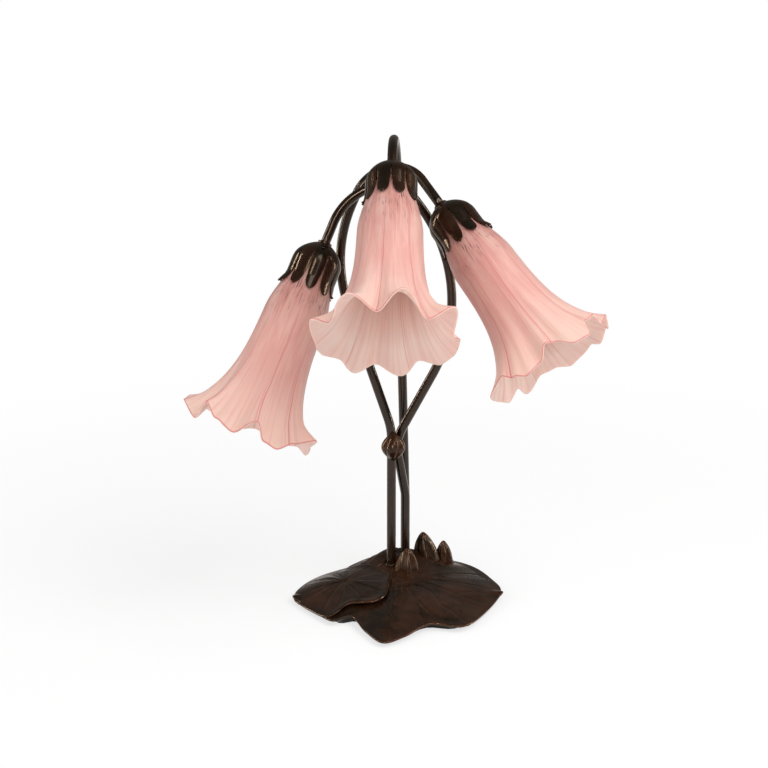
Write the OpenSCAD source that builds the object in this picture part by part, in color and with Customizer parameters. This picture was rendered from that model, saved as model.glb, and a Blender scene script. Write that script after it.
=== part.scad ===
// Pond-lily table lamp: a cast lily-pad base, three bent tube stems and three drooping flower lights.
// Millimetres, +Z up. The origin lies on the table, near the middle of the base. -Y is the front.

/* [Stems] */
// Outside diameter of the bent stem tubes
stem_od = 8; // [7:0.5:9]
// Wall of the stem tubes
stem_wall = 0.8; // [0.6:0.1:1]
// Diameter of the two-core lead inside each stem
lead_od = 3.6; // [3:0.2:4.2]
// Height of the stop collar brazed round each stem
collar_h = 2; // [1.5:0.25:3]

/* [Centre light] */
// Sideways place of the centre stem's end
centre_x = -4.5; // [-12:0.5:4]
// Place of the centre stem's end, front to back
centre_y = 6; // [0:1:12]
// Height of the centre stem's end
centre_z = 383; // [375:1:400]
// Tilt of the centre light away from straight down
centre_tilt = 45; // [38:1:50]
// Bend radius of the arch over the centre light
arch_r = 38; // [34:1:42]

/* [Left light] */
// Sideways place of the left stem's end
left_x = -61; // [-66:1:-54]
// Place of the left stem's end, front to back
left_y = 28; // [24:1:32]
// Height of the left stem's end
left_z = 313; // [306:1:322]
// Tilt of the left light away from straight down
left_tilt = 33; // [28:1:40]

/* [Right light] */
// Sideways place of the right stem's end
right_x = 37; // [32:0.5:42]
// Place of the right stem's end, front to back
right_y = 24; // [18:1:30]
// Height of the right stem's end
right_z = 346; // [340:1:354]
// Tilt of the right light away from straight down
right_tilt = 50; // [44:1:54]

/* [Calyx caps] */
// Outside diameter of a cap where its dome ends
cap_d = 42.2; // [41.6:0.2:46]
// Length of a cap from its flat top to its petal tips
cap_l = 44; // [38:0.5:47]
// Depth of the domed part of a cap
cap_dome = 19; // [16.5:0.5:20]
// Sheet thickness of a cap
cap_wall = 1.2; // [0.8:0.1:1.4]
// Number of petals round a cap
petals = 10; // [8:1:12]
// Distance from the top of a cap to the slots between its petals
slot_top = 13; // [11:0.5:16]
// Diameter of the vent hole in the dome of a cap
vent_d = 2.5; // [1.5:0.25:3.5]

/* [Glass shades] */
// Length of a shade from its shoulder to the middle of its lip
shade_l = 154; // [145:0.5:165]
// Diameter of a shade at its shoulder
shoulder_d = 35.2; // [34.4:0.2:35.6]
// Diameter of a shade along its waist
waist_d = 52.5; // [49:0.5:54]
// Mean diameter of a shade at its lip
mouth_d = 100; // [90:1:104]
// Thickness of the glass
glass_wall = 2.6; // [2:0.2:2.8]
// Number of ruffles round the lip
ruffles = 8; // [6:1:9]
// How far the ruffles swing out and in
ruffle_reach = 8.5; // [4:0.5:9]
// How far the ruffles curl up and down
ruffle_rise = 4; // [2:0.5:6]

/* [Sockets] */
// Outside diameter of a socket's threaded barrel
barrel_d = 22; // [21:0.2:22.6]
// Length of a socket below its shade flange
barrel_l = 24; // [22:0.5:28]
// Thickness of the rubber gasket over a shade
gasket_t = 1.5; // [1:0.25:2]
// Thickness of the fibre washer under a shade
washer_t = 1; // [0.6:0.1:1.4]
// Height of the ring that holds a shade
ring_h = 5; // [4:0.5:7]
// Diameter of the thread on a candelabra bulb
bulb_thread_d = 11.9; // [11.4:0.1:12.2]

/* [Bulbs] */
// Largest diameter of a bulb
bulb_d = 32; // [26:1:34]
// Length of a bulb's glass beyond its brass base
bulb_glass_l = 64; // [55:1:70]

/* [Base] */
// Wall of the base casting
base_wall = 3.2; // [2.8:0.2:4]
// Height of the pads at their crown
crown_z = 17; // [15.5:0.5:18.5]
// Height of the seats for the stems
seat_z = 19; // [18:0.5:19.5]
// Height of the hub round the stems
hub_z = 25; // [23:0.5:26.5]
// How far the left pad lies over the front one
pad_step = 3; // [1.5:0.5:4]
// Thickness of the felt under the base
felt_t = 1.6; // [1:0.2:2.4]
// Bore of the bushing for the supply cord
cord_bore = 6; // [5:0.25:6.5]

/* [Bud on the stems] */
// Width of the bud that holds the side stems together
bud_w = 20.4; // [18:0.2:22]
// Length of the bud
bud_l = 27; // [24:0.5:30]

/* [Hidden] */
$fn = 48;
smooth_fn = 64;

// Clearances
seat_fit = 0.1;
run_fit = 0.3;
glass_fit = 0.5;

// Colours
bronze = "#33231b";
brass = "#b08d4a";
phenolic = "#1c1a19";
rubber = "#222222";
pink = "#efaaa4";
steel = "#8d9093";

// Feet of the stems: X and Y of each where it stands in the hub
centre_foot = [8, 76];
left_foot = [8, 62];
right_foot = [-4.5, 51.5];
feet = [centre_foot, left_foot, right_foot];

// Directions of the lights, as compass angles from +X
centre_turn = -92;
left_turn = -132;
right_turn = -47;

// Fasteners of the stems, below the hub
boss_r = 7.5;
boss_z = 13;
stem_washer_t = 1.2;
stem_washer_d = stem_od + 5;
nut_h = 4;
nut_flats = stem_od + 3;
stem_end_z = boss_z - stem_washer_t - nut_h - 0.8;

// Bends of the stems: X, Y, Z of each corner and the radius there, from the foot upward.
// The last corner of each stem lies on the axis of its light, at the given distance from the end.
right_corners = [
    [-4.5, 51.5, 146, 60],
    [-57, 54, 301, 121],
    [-30.5, 56, 360, 37]];
right_reach = 64.5;
right_end_r = 32;
left_corners = [
    [8, 62, 82, 40],
    [-1, 58.5, 133, 39],
    [73, 52, 272.5, 141],
    [2.5, 46, 365, 27]];
left_reach = 48.8;
left_end_r = 52;
centre_corners = [[8, 76, 80, 200]];
centre_lead_in = 8;

// Levels along a light's axis, measured from the flat top of its cap
ferrule_l = 2;
ferrule_thread_d = 10;
ferrule_thread_l = 9;
cap_nut_h = 3;
cap_nut_flats = 14;
cap_seat_r = cap_nut_flats / sqrt(3) + 0.4;
socket_top = cap_wall + cap_nut_h + 0.2;
flange_h = 2;
flange_top = 8;
gasket_top = flange_top + flange_h;
glass_top = gasket_top + gasket_t;
washer_top = glass_top + glass_wall;
ring_top = washer_top + washer_t;
barrel_end = gasket_top + barrel_l;
cavity_floor = gasket_top + 3;
contact_t = 0.8;
contact_h = 2.6;
tip_top = cavity_floor + contact_h;
tip_h = 1.6;
tip_r = 2.4;
tip_gap = 0.05;
base_top = tip_top + tip_h + tip_gap;
base_l = 13.8;
globe_top = base_top + base_l;
shell_wall = 0.45;
shell_r = bulb_thread_d / 2 + run_fit;
shell_l = 14;

// Radii round a light's axis
barrel_r = barrel_d / 2;
hole_r = barrel_r + glass_fit;
clamp_r = barrel_r + 3;
cavity_r = shell_r + shell_wall + seat_fit;
shoulder_r = shoulder_d / 2;
waist_r = waist_d / 2;
mouth_r = mouth_d / 2;

// Share of a shade's length where the shoulder has grown to the waist, and where the ruffles begin
shoulder_end = 0.36;
ruffle_start = 0.6;
flare_power = 5;
shade_spin = 12;
// Turn of each cap round its light to the middle of a petal, and of its vent hole
centre_cap_turn = 16.5;
left_cap_turn = 24;
right_cap_turn = 24;
centre_vent_turn = 0;
left_vent_turn = 134;
right_vent_turn = 0;

function ease(x) = let (t = min(max(x, 0), 1)) t * t * (3 - 2 * t);
function unit(v) = v / norm(v);
function angle_between(a, b) = acos(min(max(a * b / norm(a) / norm(b), -1), 1));

// Light frames: local +Z runs down the light's axis, from the flat top of the cap to the lip.
function light_way(tilt, turn) = [sin(tilt) * cos(turn), sin(tilt) * sin(turn), -cos(tilt)];
centre_end = [centre_x, centre_y, centre_z];
left_end = [left_x, left_y, left_z];
right_end = [right_x, right_y, right_z];
centre_way = light_way(centre_tilt, centre_turn);
left_way = light_way(left_tilt, left_turn);
right_way = light_way(right_tilt, right_turn);

module at_light(end, tilt, turn) translate(end) rotate([0, 180 - tilt, turn]) children();
module at_centre() at_light(centre_end, centre_tilt, centre_turn) children();
module at_left() at_light(left_end, left_tilt, left_turn) children();
module at_right() at_light(right_end, right_tilt, right_turn) children();

// Routes: each has its corner points and the bend radius at every corner between the two ends.
function points_of(corners) = [for (c = corners) [c[0], c[1], c[2]]];
function radii_of(corners) = [for (c = corners) c[3]];
function foot_point(foot) = [foot[0], foot[1], stem_end_z];

centre_reach = centre_lead_in + arch_r * tan((180 - centre_tilt) / 2);
centre_path = concat([foot_point(centre_foot)], points_of(centre_corners),
    [centre_end - centre_way * centre_reach, centre_end]);
centre_radii = concat(radii_of(centre_corners), [arch_r]);
left_path = concat([foot_point(left_foot)], points_of(left_corners),
    [left_end - left_way * left_reach, left_end]);
left_radii = concat(radii_of(left_corners), [left_end_r]);
right_path = concat([foot_point(right_foot)], points_of(right_corners),
    [right_end - right_way * right_reach, right_end]);
right_radii = concat(radii_of(right_corners), [right_end_r]);

// A bent tube: a straight piece along every leg and a bend at every corner. A bend is drawn a hair
// slimmer than the straights and reaches a little way into both of them, so that they join soundly.
bend_step = 0.03;
bend_overlap = 0.3;
function leg(path, i) = path[i + 1] - path[i];
function bend_angle(path, i) = angle_between(leg(path, i - 1), leg(path, i));
function tangent(path, radii, i) =
    i < 1 || i > len(radii) ? 0 : radii[i - 1] * tan(bend_angle(path, i) / 2);
// Ways square to the legs before and after a corner, toward the middle of its bend
function inward(path, i) =
    let (a = unit(leg(path, i - 1)), b = unit(leg(path, i))) unit(b - a * (a * b));
function inward_after(path, i) =
    let (a = unit(leg(path, i - 1)), b = unit(leg(path, i))) unit(b * (a * b) - a);

module ring_profile(od, id) difference() {
    circle(d = od, $fn = smooth_fn);
    if (id > 0) circle(d = id, $fn = smooth_fn);
}

// Places its children at p, with their Z along z and their X along x
module along(p, z, x) {
    y = cross(z, x);
    multmatrix([
        [x[0], y[0], z[0], p[0]],
        [x[1], y[1], z[1], p[1]],
        [x[2], y[2], z[2], p[2]],
        [0, 0, 0, 1]]) children();
}

module straight_piece(path, radii, i, od, id) {
    way = unit(leg(path, i));
    start = tangent(path, radii, i);
    along(path[i] + way * start, way, i == 0 ? inward(path, 1) : inward_after(path, i))
        linear_extrude(norm(leg(path, i)) - start - tangent(path, radii, i + 1)) ring_profile(od, id);
}

module bend_piece(path, radii, i, od, id) {
    way = unit(leg(path, i - 1));
    r = radii[i - 1];
    extra = bend_overlap / r * 180 / PI;
    along(path[i] - way * tangent(path, radii, i), way, inward(path, i))
        translate([r, 0, 0]) rotate([90, 0, 180]) rotate([0, 0, -extra])
            rotate_extrude(angle = bend_angle(path, i) + 2 * extra, $fn = 3 * smooth_fn)
                translate([r, 0]) ring_profile(od - 2 * bend_step, id > 0 ? id + 2 * bend_step : 0);
}

module bent_tube(path, radii, od, id = 0) {
    for (i = [0 : len(path) - 2]) straight_piece(path, radii, i, od, id);
    for (i = [1 : len(radii)]) bend_piece(path, radii, i, od, id);
}

// A closed skin over a pile of rings, with a point at each end. The rings turn anticlockwise
// seen against the way that the first of them faces.
function skin_faces(n, m) = concat(
    [for (j = [0 : n - 1]) [0, 1 + (j + 1) % n, 1 + j]],
    [for (i = [0 : m - 2], j = [0 : n - 1]) let (a = 1 + i * n, b = a + n, k = (j + 1) % n)
        each [[a + j, a + k, b + k], [a + j, b + k, b + j]]],
    [for (j = [0 : n - 1]) [1 + (m - 1) * n + j, 1 + (m - 1) * n + (j + 1) % n, 1 + m * n]]);
module skin(start, rings, end) polyhedron(
    points = concat([start], [for (ring = rings) each ring], [end]),
    faces = skin_faces(len(rings[0]), len(rings)));

// Stems and leads
module stem(path, radii) color(bronze) {
    bent_tube(path, radii, stem_od, stem_od - 2 * stem_wall);
    translate([path[0][0], path[0][1], seat_z]) linear_extrude(collar_h)
        ring_profile(stem_od + 3, stem_od - stem_wall);
}
module stem_centre() stem(centre_path, centre_radii);
module stem_left() stem(left_path, left_radii);
module stem_right() stem(right_path, right_radii);

// Each lead comes from the connectors in the base, runs up its stem and ends in its socket.
lead_z = felt_t + lead_od / 2 + 0.2;
lead_bend_r = lead_od;
lead_ends_y = 34;
lead_tail = cavity_floor - 0.5;
function lead_path(start, path, way) = concat(start, [[path[0][0], path[0][1], lead_z]],
    [for (i = [1 : len(path) - 2]) path[i]], [path[len(path) - 1] + way * lead_tail]);
module lead_centre() color(rubber) bent_tube(
    lead_path([[16, lead_ends_y, lead_z], [16, 64, lead_z]], centre_path, centre_way),
    concat([8, lead_bend_r], centre_radii), lead_od);
module lead_left() color(rubber) bent_tube(
    lead_path([[8, lead_ends_y, lead_z]], left_path, left_way),
    concat([lead_bend_r], left_radii), lead_od);
module lead_right() color(rubber) bent_tube(
    lead_path([[-4.5, lead_ends_y, lead_z]], right_path, right_way),
    concat([lead_bend_r], right_radii), lead_od);

// Rim of the pads: X, Y and height of the top edge, anticlockwise from the left tip
pad_rim = [
    [-89, 8, 5], [-73, -19, 4.5], [-56, -45, 5], [-39, -42, 7.5], [-27, -68, 5], [-12, -91, 4.5],
    [7, -78, 5], [28, -57, 7], [55, -59, 5.5], [74, -31, 5], [92, 17, 6], [85, 50, 6],
    [70, 80, 6], [46, 98, 6], [14, 104, 6], [-16, 96, 6], [-42, 78, 6], [-68, 56, 6], [-84, 32, 5.5]];
rim_steps = 4;
pad_middle = [0, 24];
hub = [2, 74];
hub_r = [30, 22];
hub_rise = 15;
left_pad = [-52, 22];
left_pad_r = [38, 44];
rim_t = 1.8;

function spline(a, b, c, d, t) =
    0.5 * (2 * b + (c - a) * t + (2 * a - 5 * b + 4 * c - d) * t * t + (3 * b - a - 3 * c + d) * t * t * t);
function closed_spline(p, steps) = let (n = len(p))
    [for (i = [0 : n - 1], s = [0 : steps - 1])
        spline(p[(i + n - 1) % n], p[i], p[(i + 1) % n], p[(i + 2) % n], s / steps)];
rim = closed_spline(pad_rim, rim_steps);

function pad_xy(p, f) = [pad_middle[0] + f * (p[0] - pad_middle[0]), pad_middle[1] + f * (p[1] - pad_middle[1])];
function over_ellipse(q, c, r) = norm([(q[0] - c[0]) / r[0], (q[1] - c[1]) / r[1]]);
function pad_z(p, f) = let (q = pad_xy(p, f), h = over_ellipse(q, hub, hub_r))
    min(hub_z, p[2] + (crown_z - p[2]) * (1 - pow(f, 2.4))
        + hub_rise * exp(-h * h) * (1 - pow(f, 6)))
    + pad_step * (1 - ease(10 * (over_ellipse(q, left_pad, left_pad_r) - 0.9))) * (1 - pow(f, 4));

// The underside follows the top at the wall's thickness, but the hub is cast solid down to its roof, and
// a foot ring stands on the felt.
wall_share = [0.12, 0.25, 0.38, 0.5, 0.6, 0.7, 0.77, 0.82, 0.84, 0.89, 0.91, 0.96, 1];
foot_in = 0.84;
foot_out = 0.89;
function wall_at(f) = f < foot_in ? base_wall : base_wall + (rim_t - base_wall) * (f - foot_out) / (1 - foot_out);
function under_z(p, f) =
    f >= foot_in && f <= foot_out ? felt_t
    : max(min(pad_z(p, f) - wall_at(f), seat_z - base_wall), felt_t + 0.4);
module pads() skin(
    [pad_middle[0], pad_middle[1], pad_z(rim[0], 0)],
    concat(
        [for (f = wall_share) [for (p = rim) concat(pad_xy(p, f), pad_z(p, f))]],
        [for (i = [len(wall_share) - 1 : -1 : 0]) let (f = wall_share[i])
            [for (p = rim) concat(pad_xy(p, f), under_z(p, f))]]),
    [pad_middle[0], pad_middle[1], under_z(rim[0], 0)]);

// Ribbed flower buds: a radius, a height, and a tip that leans away from the foot
bud_sides = 20;
bud_levels = [0.03, 0.12, 0.26, 0.44, 0.64, 0.82, 1];
function bud_r(f) = sin(90 * pow(f, 0.62)) * (1 - 0.1 * pow(f, 3));
module pad_bud(at, r, h, lean) translate(at) skin(
    [lean[0], lean[1], h],
    [for (f = bud_levels) [for (j = [0 : bud_sides - 1]) let (a = 360 * j / bud_sides,
        d = r * bud_r(f) * (1 + 0.06 * cos(5 * a)))
        [lean[0] * (1 - f) + d * cos(a), lean[1] * (1 - f) + d * sin(a), h * (1 - f)]]],
    [0, 0, 0]);

// Cord bushing in the back of the foot ring
cord_x = -20;
cord_z = 7;
cord_wall_y = 79;
bushing_wall = 1.4;
bushing_flange_t = 1.2;
bushing_l = 7;
bushing_d = cord_bore + 2 * bushing_wall;
bushing_flange_d = bushing_d + 2.4;

module base_casting() color(bronze) difference() {
    union() {
        pads();
        for (f = feet) translate([f[0], f[1], boss_z]) cylinder(r = boss_r, h = seat_z - boss_z - 0.6);
        pad_bud([8.5, 46, 13], 11, 23, [0, 0]);
        pad_bud([28, 76, 10], 12, 31, [-4, 0]);
        pad_bud([44.5, 84, 8], 8, 22, [-2, 0]);
    }
    for (f = feet) translate([f[0], f[1], 0]) {
        cylinder(d = stem_od + 2 * seat_fit, h = 40);
        translate([0, 0, seat_z]) cylinder(d = stem_od + 4, h = 20);
    }
    translate([cord_x, cord_wall_y, cord_z]) rotate([-90, 0, 0]) {
        translate([0, 0, -20]) cylinder(d = bushing_d + 2 * seat_fit, h = 40);
        translate([0, 0, bushing_l - bushing_flange_t]) cylinder(d = bushing_flange_d + 1, h = 40);
    }
}

module felt_pad() color("#3b4a3f") linear_extrude(felt_t)
    polygon([for (p = rim) pad_xy(p, foot_out - 0.01)]);

module hexagon(flats, bore, h) difference() {
    cylinder(d = flats / cos(30), h = h, $fn = 6);
    translate([0, 0, -1]) cylinder(d = bore, h = h + 2);
}
module stem_washers() color(steel) for (f = feet)
    translate([f[0], f[1], boss_z - stem_washer_t]) linear_extrude(stem_washer_t)
        ring_profile(stem_washer_d, stem_od + 2 * seat_fit);
module stem_nuts() color(brass) for (f = feet)
    translate([f[0], f[1], boss_z - stem_washer_t - nut_h])
        hexagon(nut_flats, stem_od + 2 * seat_fit, nut_h);

connector_l = 16;
connector_d = 8.6;
module wire_connectors() color("#c9b99a") for (x = [-0.5, 12])
    translate([x, lead_ends_y - seat_fit, felt_t + connector_d / 2 + 0.2]) rotate([90, 0, 0])
        cylinder(d1 = connector_d, d2 = connector_d * 0.6, h = connector_l);

module cord_bushing() color(rubber) translate([cord_x, cord_wall_y, cord_z]) rotate([-90, 0, 0])
    difference() {
        union() {
            cylinder(d = bushing_d, h = bushing_l);
            translate([0, 0, bushing_l - bushing_flange_t + seat_fit])
                cylinder(d = bushing_flange_d, h = bushing_flange_t);
        }
        translate([0, 0, -1]) cylinder(d = cord_bore, h = bushing_l + 3);
    }

// The bud stands in front of the side stems and is grooved to sit on both.
stem_bud_at = [-2.8, 46.5, 131];
stem_bud_depth = 11;
stem_bud_levels = [0.06, 0.2, 0.36, 0.5, 0.64, 0.8, 0.94];
module stem_bud() color(bronze) difference() {
    translate(stem_bud_at) skin(
        [0, 0, bud_l / 2],
        [for (f = stem_bud_levels) [for (j = [0 : bud_sides - 1]) let (a = 360 * j / bud_sides,
            d = pow(sin(180 * f), 0.75) * (1 + 0.05 * cos(5 * a + 60 * f)))
            [bud_w / 2 * d * cos(a), stem_bud_depth * d * sin(a), bud_l * (0.5 - f)]]],
        [0, 0, -bud_l / 2]);
    bent_tube(left_path, left_radii, stem_od + 2 * seat_fit);
    bent_tube(right_path, right_radii, stem_od + 2 * seat_fit);
}

// Light parts, each drawn along its own axis
module revolve(points) rotate_extrude($fn = smooth_fn) polygon(points);

module ferrule() color(bronze) difference() {
    union() {
        translate([0, 0, -ferrule_l]) cylinder(d = stem_od + 4, h = ferrule_l);
        cylinder(d = ferrule_thread_d, h = ferrule_thread_l);
    }
    translate([0, 0, -ferrule_l - 1]) cylinder(d = stem_od + 2 * seat_fit, h = ferrule_l + 1.05);
    cylinder(d = stem_od - 2 * stem_wall, h = ferrule_thread_l + 1);
}

// Radius of a shade at a distance from the flat top of its cap, before the ruffles
function shade_r(u) = shoulder_r + (waist_r - shoulder_r) * ease(u / shoulder_end)
    + (mouth_r - waist_r) * pow(u, flare_power);
function shade_u(h) = max(h - glass_top, 0) / shade_l;

cap_steps = 7;
dome_power = 2.4;
cap_levels = [for (i = [1 : 4]) cap_dome + (cap_l - cap_dome) * i / 4];
// The dome starts round a flat seat as wide as the nut inside it, slopes like a bell and ends upright.
// Wherever a cap lies over its glass, it keeps the glass's clearance.
function cap_clear_r(h) = h > glass_top - glass_fit ? shade_r(shade_u(h)) + glass_fit : 0;
function cap_dome_points(inset) = [for (i = [0 : cap_steps])
    let (t = i / cap_steps, inner_h = cap_wall + (cap_dome - cap_wall) * t)
    [max(cap_seat_r + (cap_d / 2 - inset - cap_seat_r) * (1 - pow(1 - t, dome_power)),
        cap_clear_r(inner_h) + cap_wall - inset), inset + (cap_dome - inset) * t]];
function cap_side_r(h) = max(cap_d / 2 - cap_wall, cap_clear_r(h));

// Gaps between the petals: width where they begin, share of half a petal's pitch that they reach, how
// they widen, and where on a petal's length its tip rounds off to a blunt end
slot_w = 0.8;
gap_share = 0.38;
gap_power = 1.9;
petal_tip_start = 0.84;
petal_end_w = 3;
// A gap's outline ends past the tips, so that none of its corners falls on their edge
slot_end = cap_l + 0.6;
petal_pitch = (cap_side_r(cap_l) + cap_wall) * sin(180 / petals);
vent_r = 16;
// Half the width of a gap, a share x of the way from the slot's top to the petal tips
function petal_gap(x) = slot_w / 2 + (gap_share * petal_pitch - slot_w / 2) * pow(x, gap_power);
function slot_half(x) = x < petal_tip_start ? petal_gap(x)
    : let (gap = petal_gap(petal_tip_start), t = (x - petal_tip_start) / (1 - petal_tip_start))
        petal_pitch - petal_end_w / 2 * t - (petal_pitch - gap) * sqrt(max(1 - t * t, 0));
slot_shares = [0, 0.3, 0.6, petal_tip_start, 0.92, 0.97, 1];
function slot_side(way) = [for (x = slot_shares) [way * slot_half(x), slot_top + (slot_end - slot_top) * x]];
function backward(list) = [for (i = [len(list) - 1 : -1 : 0]) list[i]];
module petal_slot() rotate([90, 0, 90]) linear_extrude(cap_d) polygon(concat(
    slot_side(1), [[slot_half(1), slot_end + 2], [-slot_half(1), slot_end + 2]], backward(slot_side(-1))));
module calyx_cap(turn, vent_turn) color(bronze) difference() {
    rotate([0, 0, turn]) revolve(concat(
        [[ferrule_thread_d / 2 + seat_fit, 0]],
        cap_dome_points(0),
        [for (h = cap_levels) [cap_side_r(h) + cap_wall, h]],
        backward([for (h = cap_levels) [cap_side_r(h), h]]),
        backward(cap_dome_points(cap_wall)),
        [[ferrule_thread_d / 2 + seat_fit, cap_wall]]));
    for (i = [0 : petals - 1]) rotate([0, 0, turn + 360 * (i + 0.5) / petals]) petal_slot();
    rotate([0, 0, vent_turn]) translate([vent_r, 0, -1]) cylinder(d = vent_d, h = slot_top);
}

module cap_nut() color(brass) translate([0, 0, cap_wall])
    hexagon(cap_nut_flats, ferrule_thread_d + 2 * seat_fit, cap_nut_h);

module socket_body() color(phenolic) difference() {
    union() {
        translate([0, 0, socket_top]) cylinder(r = barrel_r, h = barrel_end - socket_top);
        translate([0, 0, flange_top]) cylinder(r = clamp_r, h = flange_h);
    }
    translate([0, 0, socket_top - 1])
        cylinder(d = ferrule_thread_d + 2 * seat_fit, h = ferrule_thread_l + 1.2 - socket_top);
    cylinder(d = stem_od - 2 * stem_wall, h = barrel_end);
    translate([0, 0, cavity_floor]) cylinder(r = cavity_r, h = barrel_l);
    translate([0, 0, globe_top - 2]) cylinder(r1 = cavity_r, r2 = barrel_r - 1.2, h = barrel_end - globe_top + 2.1);
}

module socket_shell() color(brass) translate([0, 0, base_top]) linear_extrude(shell_l)
    ring_profile(2 * (shell_r + shell_wall), 2 * shell_r);

module socket_contact() color(brass) translate([0, 0, cavity_floor]) {
    cylinder(r = cavity_r - 1, h = contact_t);
    cylinder(r = 1.5, h = contact_h);
}

module gasket() color(rubber) translate([0, 0, gasket_top]) linear_extrude(gasket_t)
    ring_profile(2 * clamp_r, 2 * (barrel_r + seat_fit));

module ring_washer() color("#6b3f2c") translate([0, 0, washer_top]) linear_extrude(washer_t)
    ring_profile(2 * clamp_r - 0.4, 2 * (barrel_r + run_fit));

ring_ribs = 24;
module shade_ring() color(phenolic) translate([0, 0, ring_top]) difference() {
    cylinder(r = clamp_r, h = ring_h);
    translate([0, 0, -1]) cylinder(r = barrel_r + run_fit, h = ring_h + 2);
    for (i = [0 : ring_ribs - 1]) rotate([0, 0, 360 * i / ring_ribs])
        translate([clamp_r + 0.3, 0, 1]) cylinder(r = 0.8, h = ring_h);
}

// The shade is one glass wall, closed over the shoulder but for the hole that the barrel passes.
shade_sides = 6 * ruffles;
shade_levels = [0.012, 0.06, 0.13, 0.21, 0.3, 0.42, 0.54, 0.64, 0.72, 0.79, 0.85, 0.9, 0.95, 1];
function ruffle(u) = pow(max(u - ruffle_start, 0) / (1 - ruffle_start), 2);
function shade_slope(u) = (shade_r(u + 0.01) - shade_r(u - 0.01)) / (0.02 * shade_l);
// How far the wall's inner face lies in and along from the outer one
function wall_in(u) = u > 0.1 ? glass_wall / sqrt(1 + pow(shade_slope(u), 2)) : glass_wall;
function wall_along(u) = u > 0.1 ? -wall_in(u) * shade_slope(u) : 0;
module glass_shade(spin) color(pink) rotate([0, 0, spin]) difference() {
    skin(
        [0, 0, glass_top],
        concat(
            [[for (j = [0 : shade_sides - 1]) let (a = -360 * j / shade_sides)
                [(shoulder_r - 2) * cos(a), (shoulder_r - 2) * sin(a), glass_top]]],
            [for (u = shade_levels) shade_loop(u, 0, 0)],
            [for (i = [len(shade_levels) - 1 : -1 : 1]) let (u = shade_levels[i])
                shade_loop(u, wall_in(u), -wall_along(u))],
            [[for (j = [0 : shade_sides - 1]) let (a = -360 * j / shade_sides)
                [(shoulder_r - glass_wall - 0.5) * cos(a), (shoulder_r - glass_wall - 0.5) * sin(a), washer_top]]]),
        [0, 0, washer_top]);
    cylinder(r = hole_r, h = washer_top + 5);
}
function shade_loop(u, inset, shift) = [for (j = [0 : shade_sides - 1])
    let (a = -360 * j / shade_sides, w = ruffle(u) * cos(ruffles * a),
        r = shade_r(u) - inset + ruffle_reach * w)
    [r * cos(a), r * sin(a), glass_top + shade_l * u + shift - ruffle_rise * w]];

module bulb_tip() color(steel) translate([0, 0, tip_top]) cylinder(r = tip_r, h = tip_h);
module bulb_base() color(brass) revolve([
    [0, base_top], [tip_r + 0.6, base_top], [bulb_thread_d / 2, base_top + 1.6],
    [bulb_thread_d / 2, globe_top], [0, globe_top]]);
globe_wall = 0.8;
globe_steps = 14;
// Outline of a flame-shaped bulb: narrow at the neck, widest at two fifths, drawn out to a round tip
function globe_r(f) = f < 0.4
    ? bulb_thread_d / 2 - 0.4 + (bulb_d - bulb_thread_d + 0.8) / 2 * ease(f / 0.4)
    : bulb_d / 2 * cos(90 * pow((f - 0.4) / 0.6, 1.35));
module bulb_glass() color("#f4f1ea") revolve(concat(
    [for (i = [0 : globe_steps]) let (f = i / globe_steps)
        [max(globe_r(f), 0), globe_top + bulb_glass_l * f]],
    [for (i = [globe_steps : -1 : 0]) let (f = i / globe_steps)
        [max(globe_r(f) - globe_wall, 0), globe_top + (bulb_glass_l - 1.2) * f]]));

base_casting();
felt_pad();
stem_washers();
stem_nuts();
wire_connectors();
cord_bushing();
stem_centre();
stem_left();
stem_right();
lead_centre();
lead_left();
lead_right();
stem_bud();
at_centre() ferrule();  // centre_ferrule
at_centre() calyx_cap(centre_cap_turn, centre_vent_turn);  // centre_cap
at_centre() cap_nut();  // centre_cap_nut
at_centre() socket_body();  // centre_socket_body
at_centre() socket_shell();  // centre_socket_shell
at_centre() socket_contact();  // centre_socket_contact
at_centre() gasket();  // centre_gasket
at_centre() glass_shade(shade_spin);  // centre_shade
at_centre() ring_washer();  // centre_ring_washer
at_centre() shade_ring();  // centre_shade_ring
at_centre() bulb_tip();  // centre_bulb_tip
at_centre() bulb_base();  // centre_bulb_base
at_centre() bulb_glass();  // centre_bulb_glass
at_left() ferrule();  // left_ferrule
at_left() calyx_cap(left_cap_turn, left_vent_turn);  // left_cap
at_left() cap_nut();  // left_cap_nut
at_left() socket_body();  // left_socket_body
at_left() socket_shell();  // left_socket_shell
at_left() socket_contact();  // left_socket_contact
at_left() gasket();  // left_gasket
at_left() glass_shade(shade_spin);  // left_shade
at_left() ring_washer();  // left_ring_washer
at_left() shade_ring();  // left_shade_ring
at_left() bulb_tip();  // left_bulb_tip
at_left() bulb_base();  // left_bulb_base
at_left() bulb_glass();  // left_bulb_glass
at_right() ferrule();  // right_ferrule
at_right() calyx_cap(right_cap_turn, right_vent_turn);  // right_cap
at_right() cap_nut();  // right_cap_nut
at_right() socket_body();  // right_socket_body
at_right() socket_shell();  // right_socket_shell
at_right() socket_contact();  // right_socket_contact
at_right() gasket();  // right_gasket
at_right() glass_shade(shade_spin);  // right_shade
at_right() ring_washer();  // right_ring_washer
at_right() shade_ring();  // right_shade_ring
at_right() bulb_tip();  // right_bulb_tip
at_right() bulb_base();  // right_bulb_base
at_right() bulb_glass();  // right_bulb_glass
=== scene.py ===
"""Dresses the pond-lily table lamp: glass flower shades, petalled caps, bent stems and a cast lily-pad base.

Lengths inside the pieces are in millimetres and turn to metres when a mesh is made.
"""

import math

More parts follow.
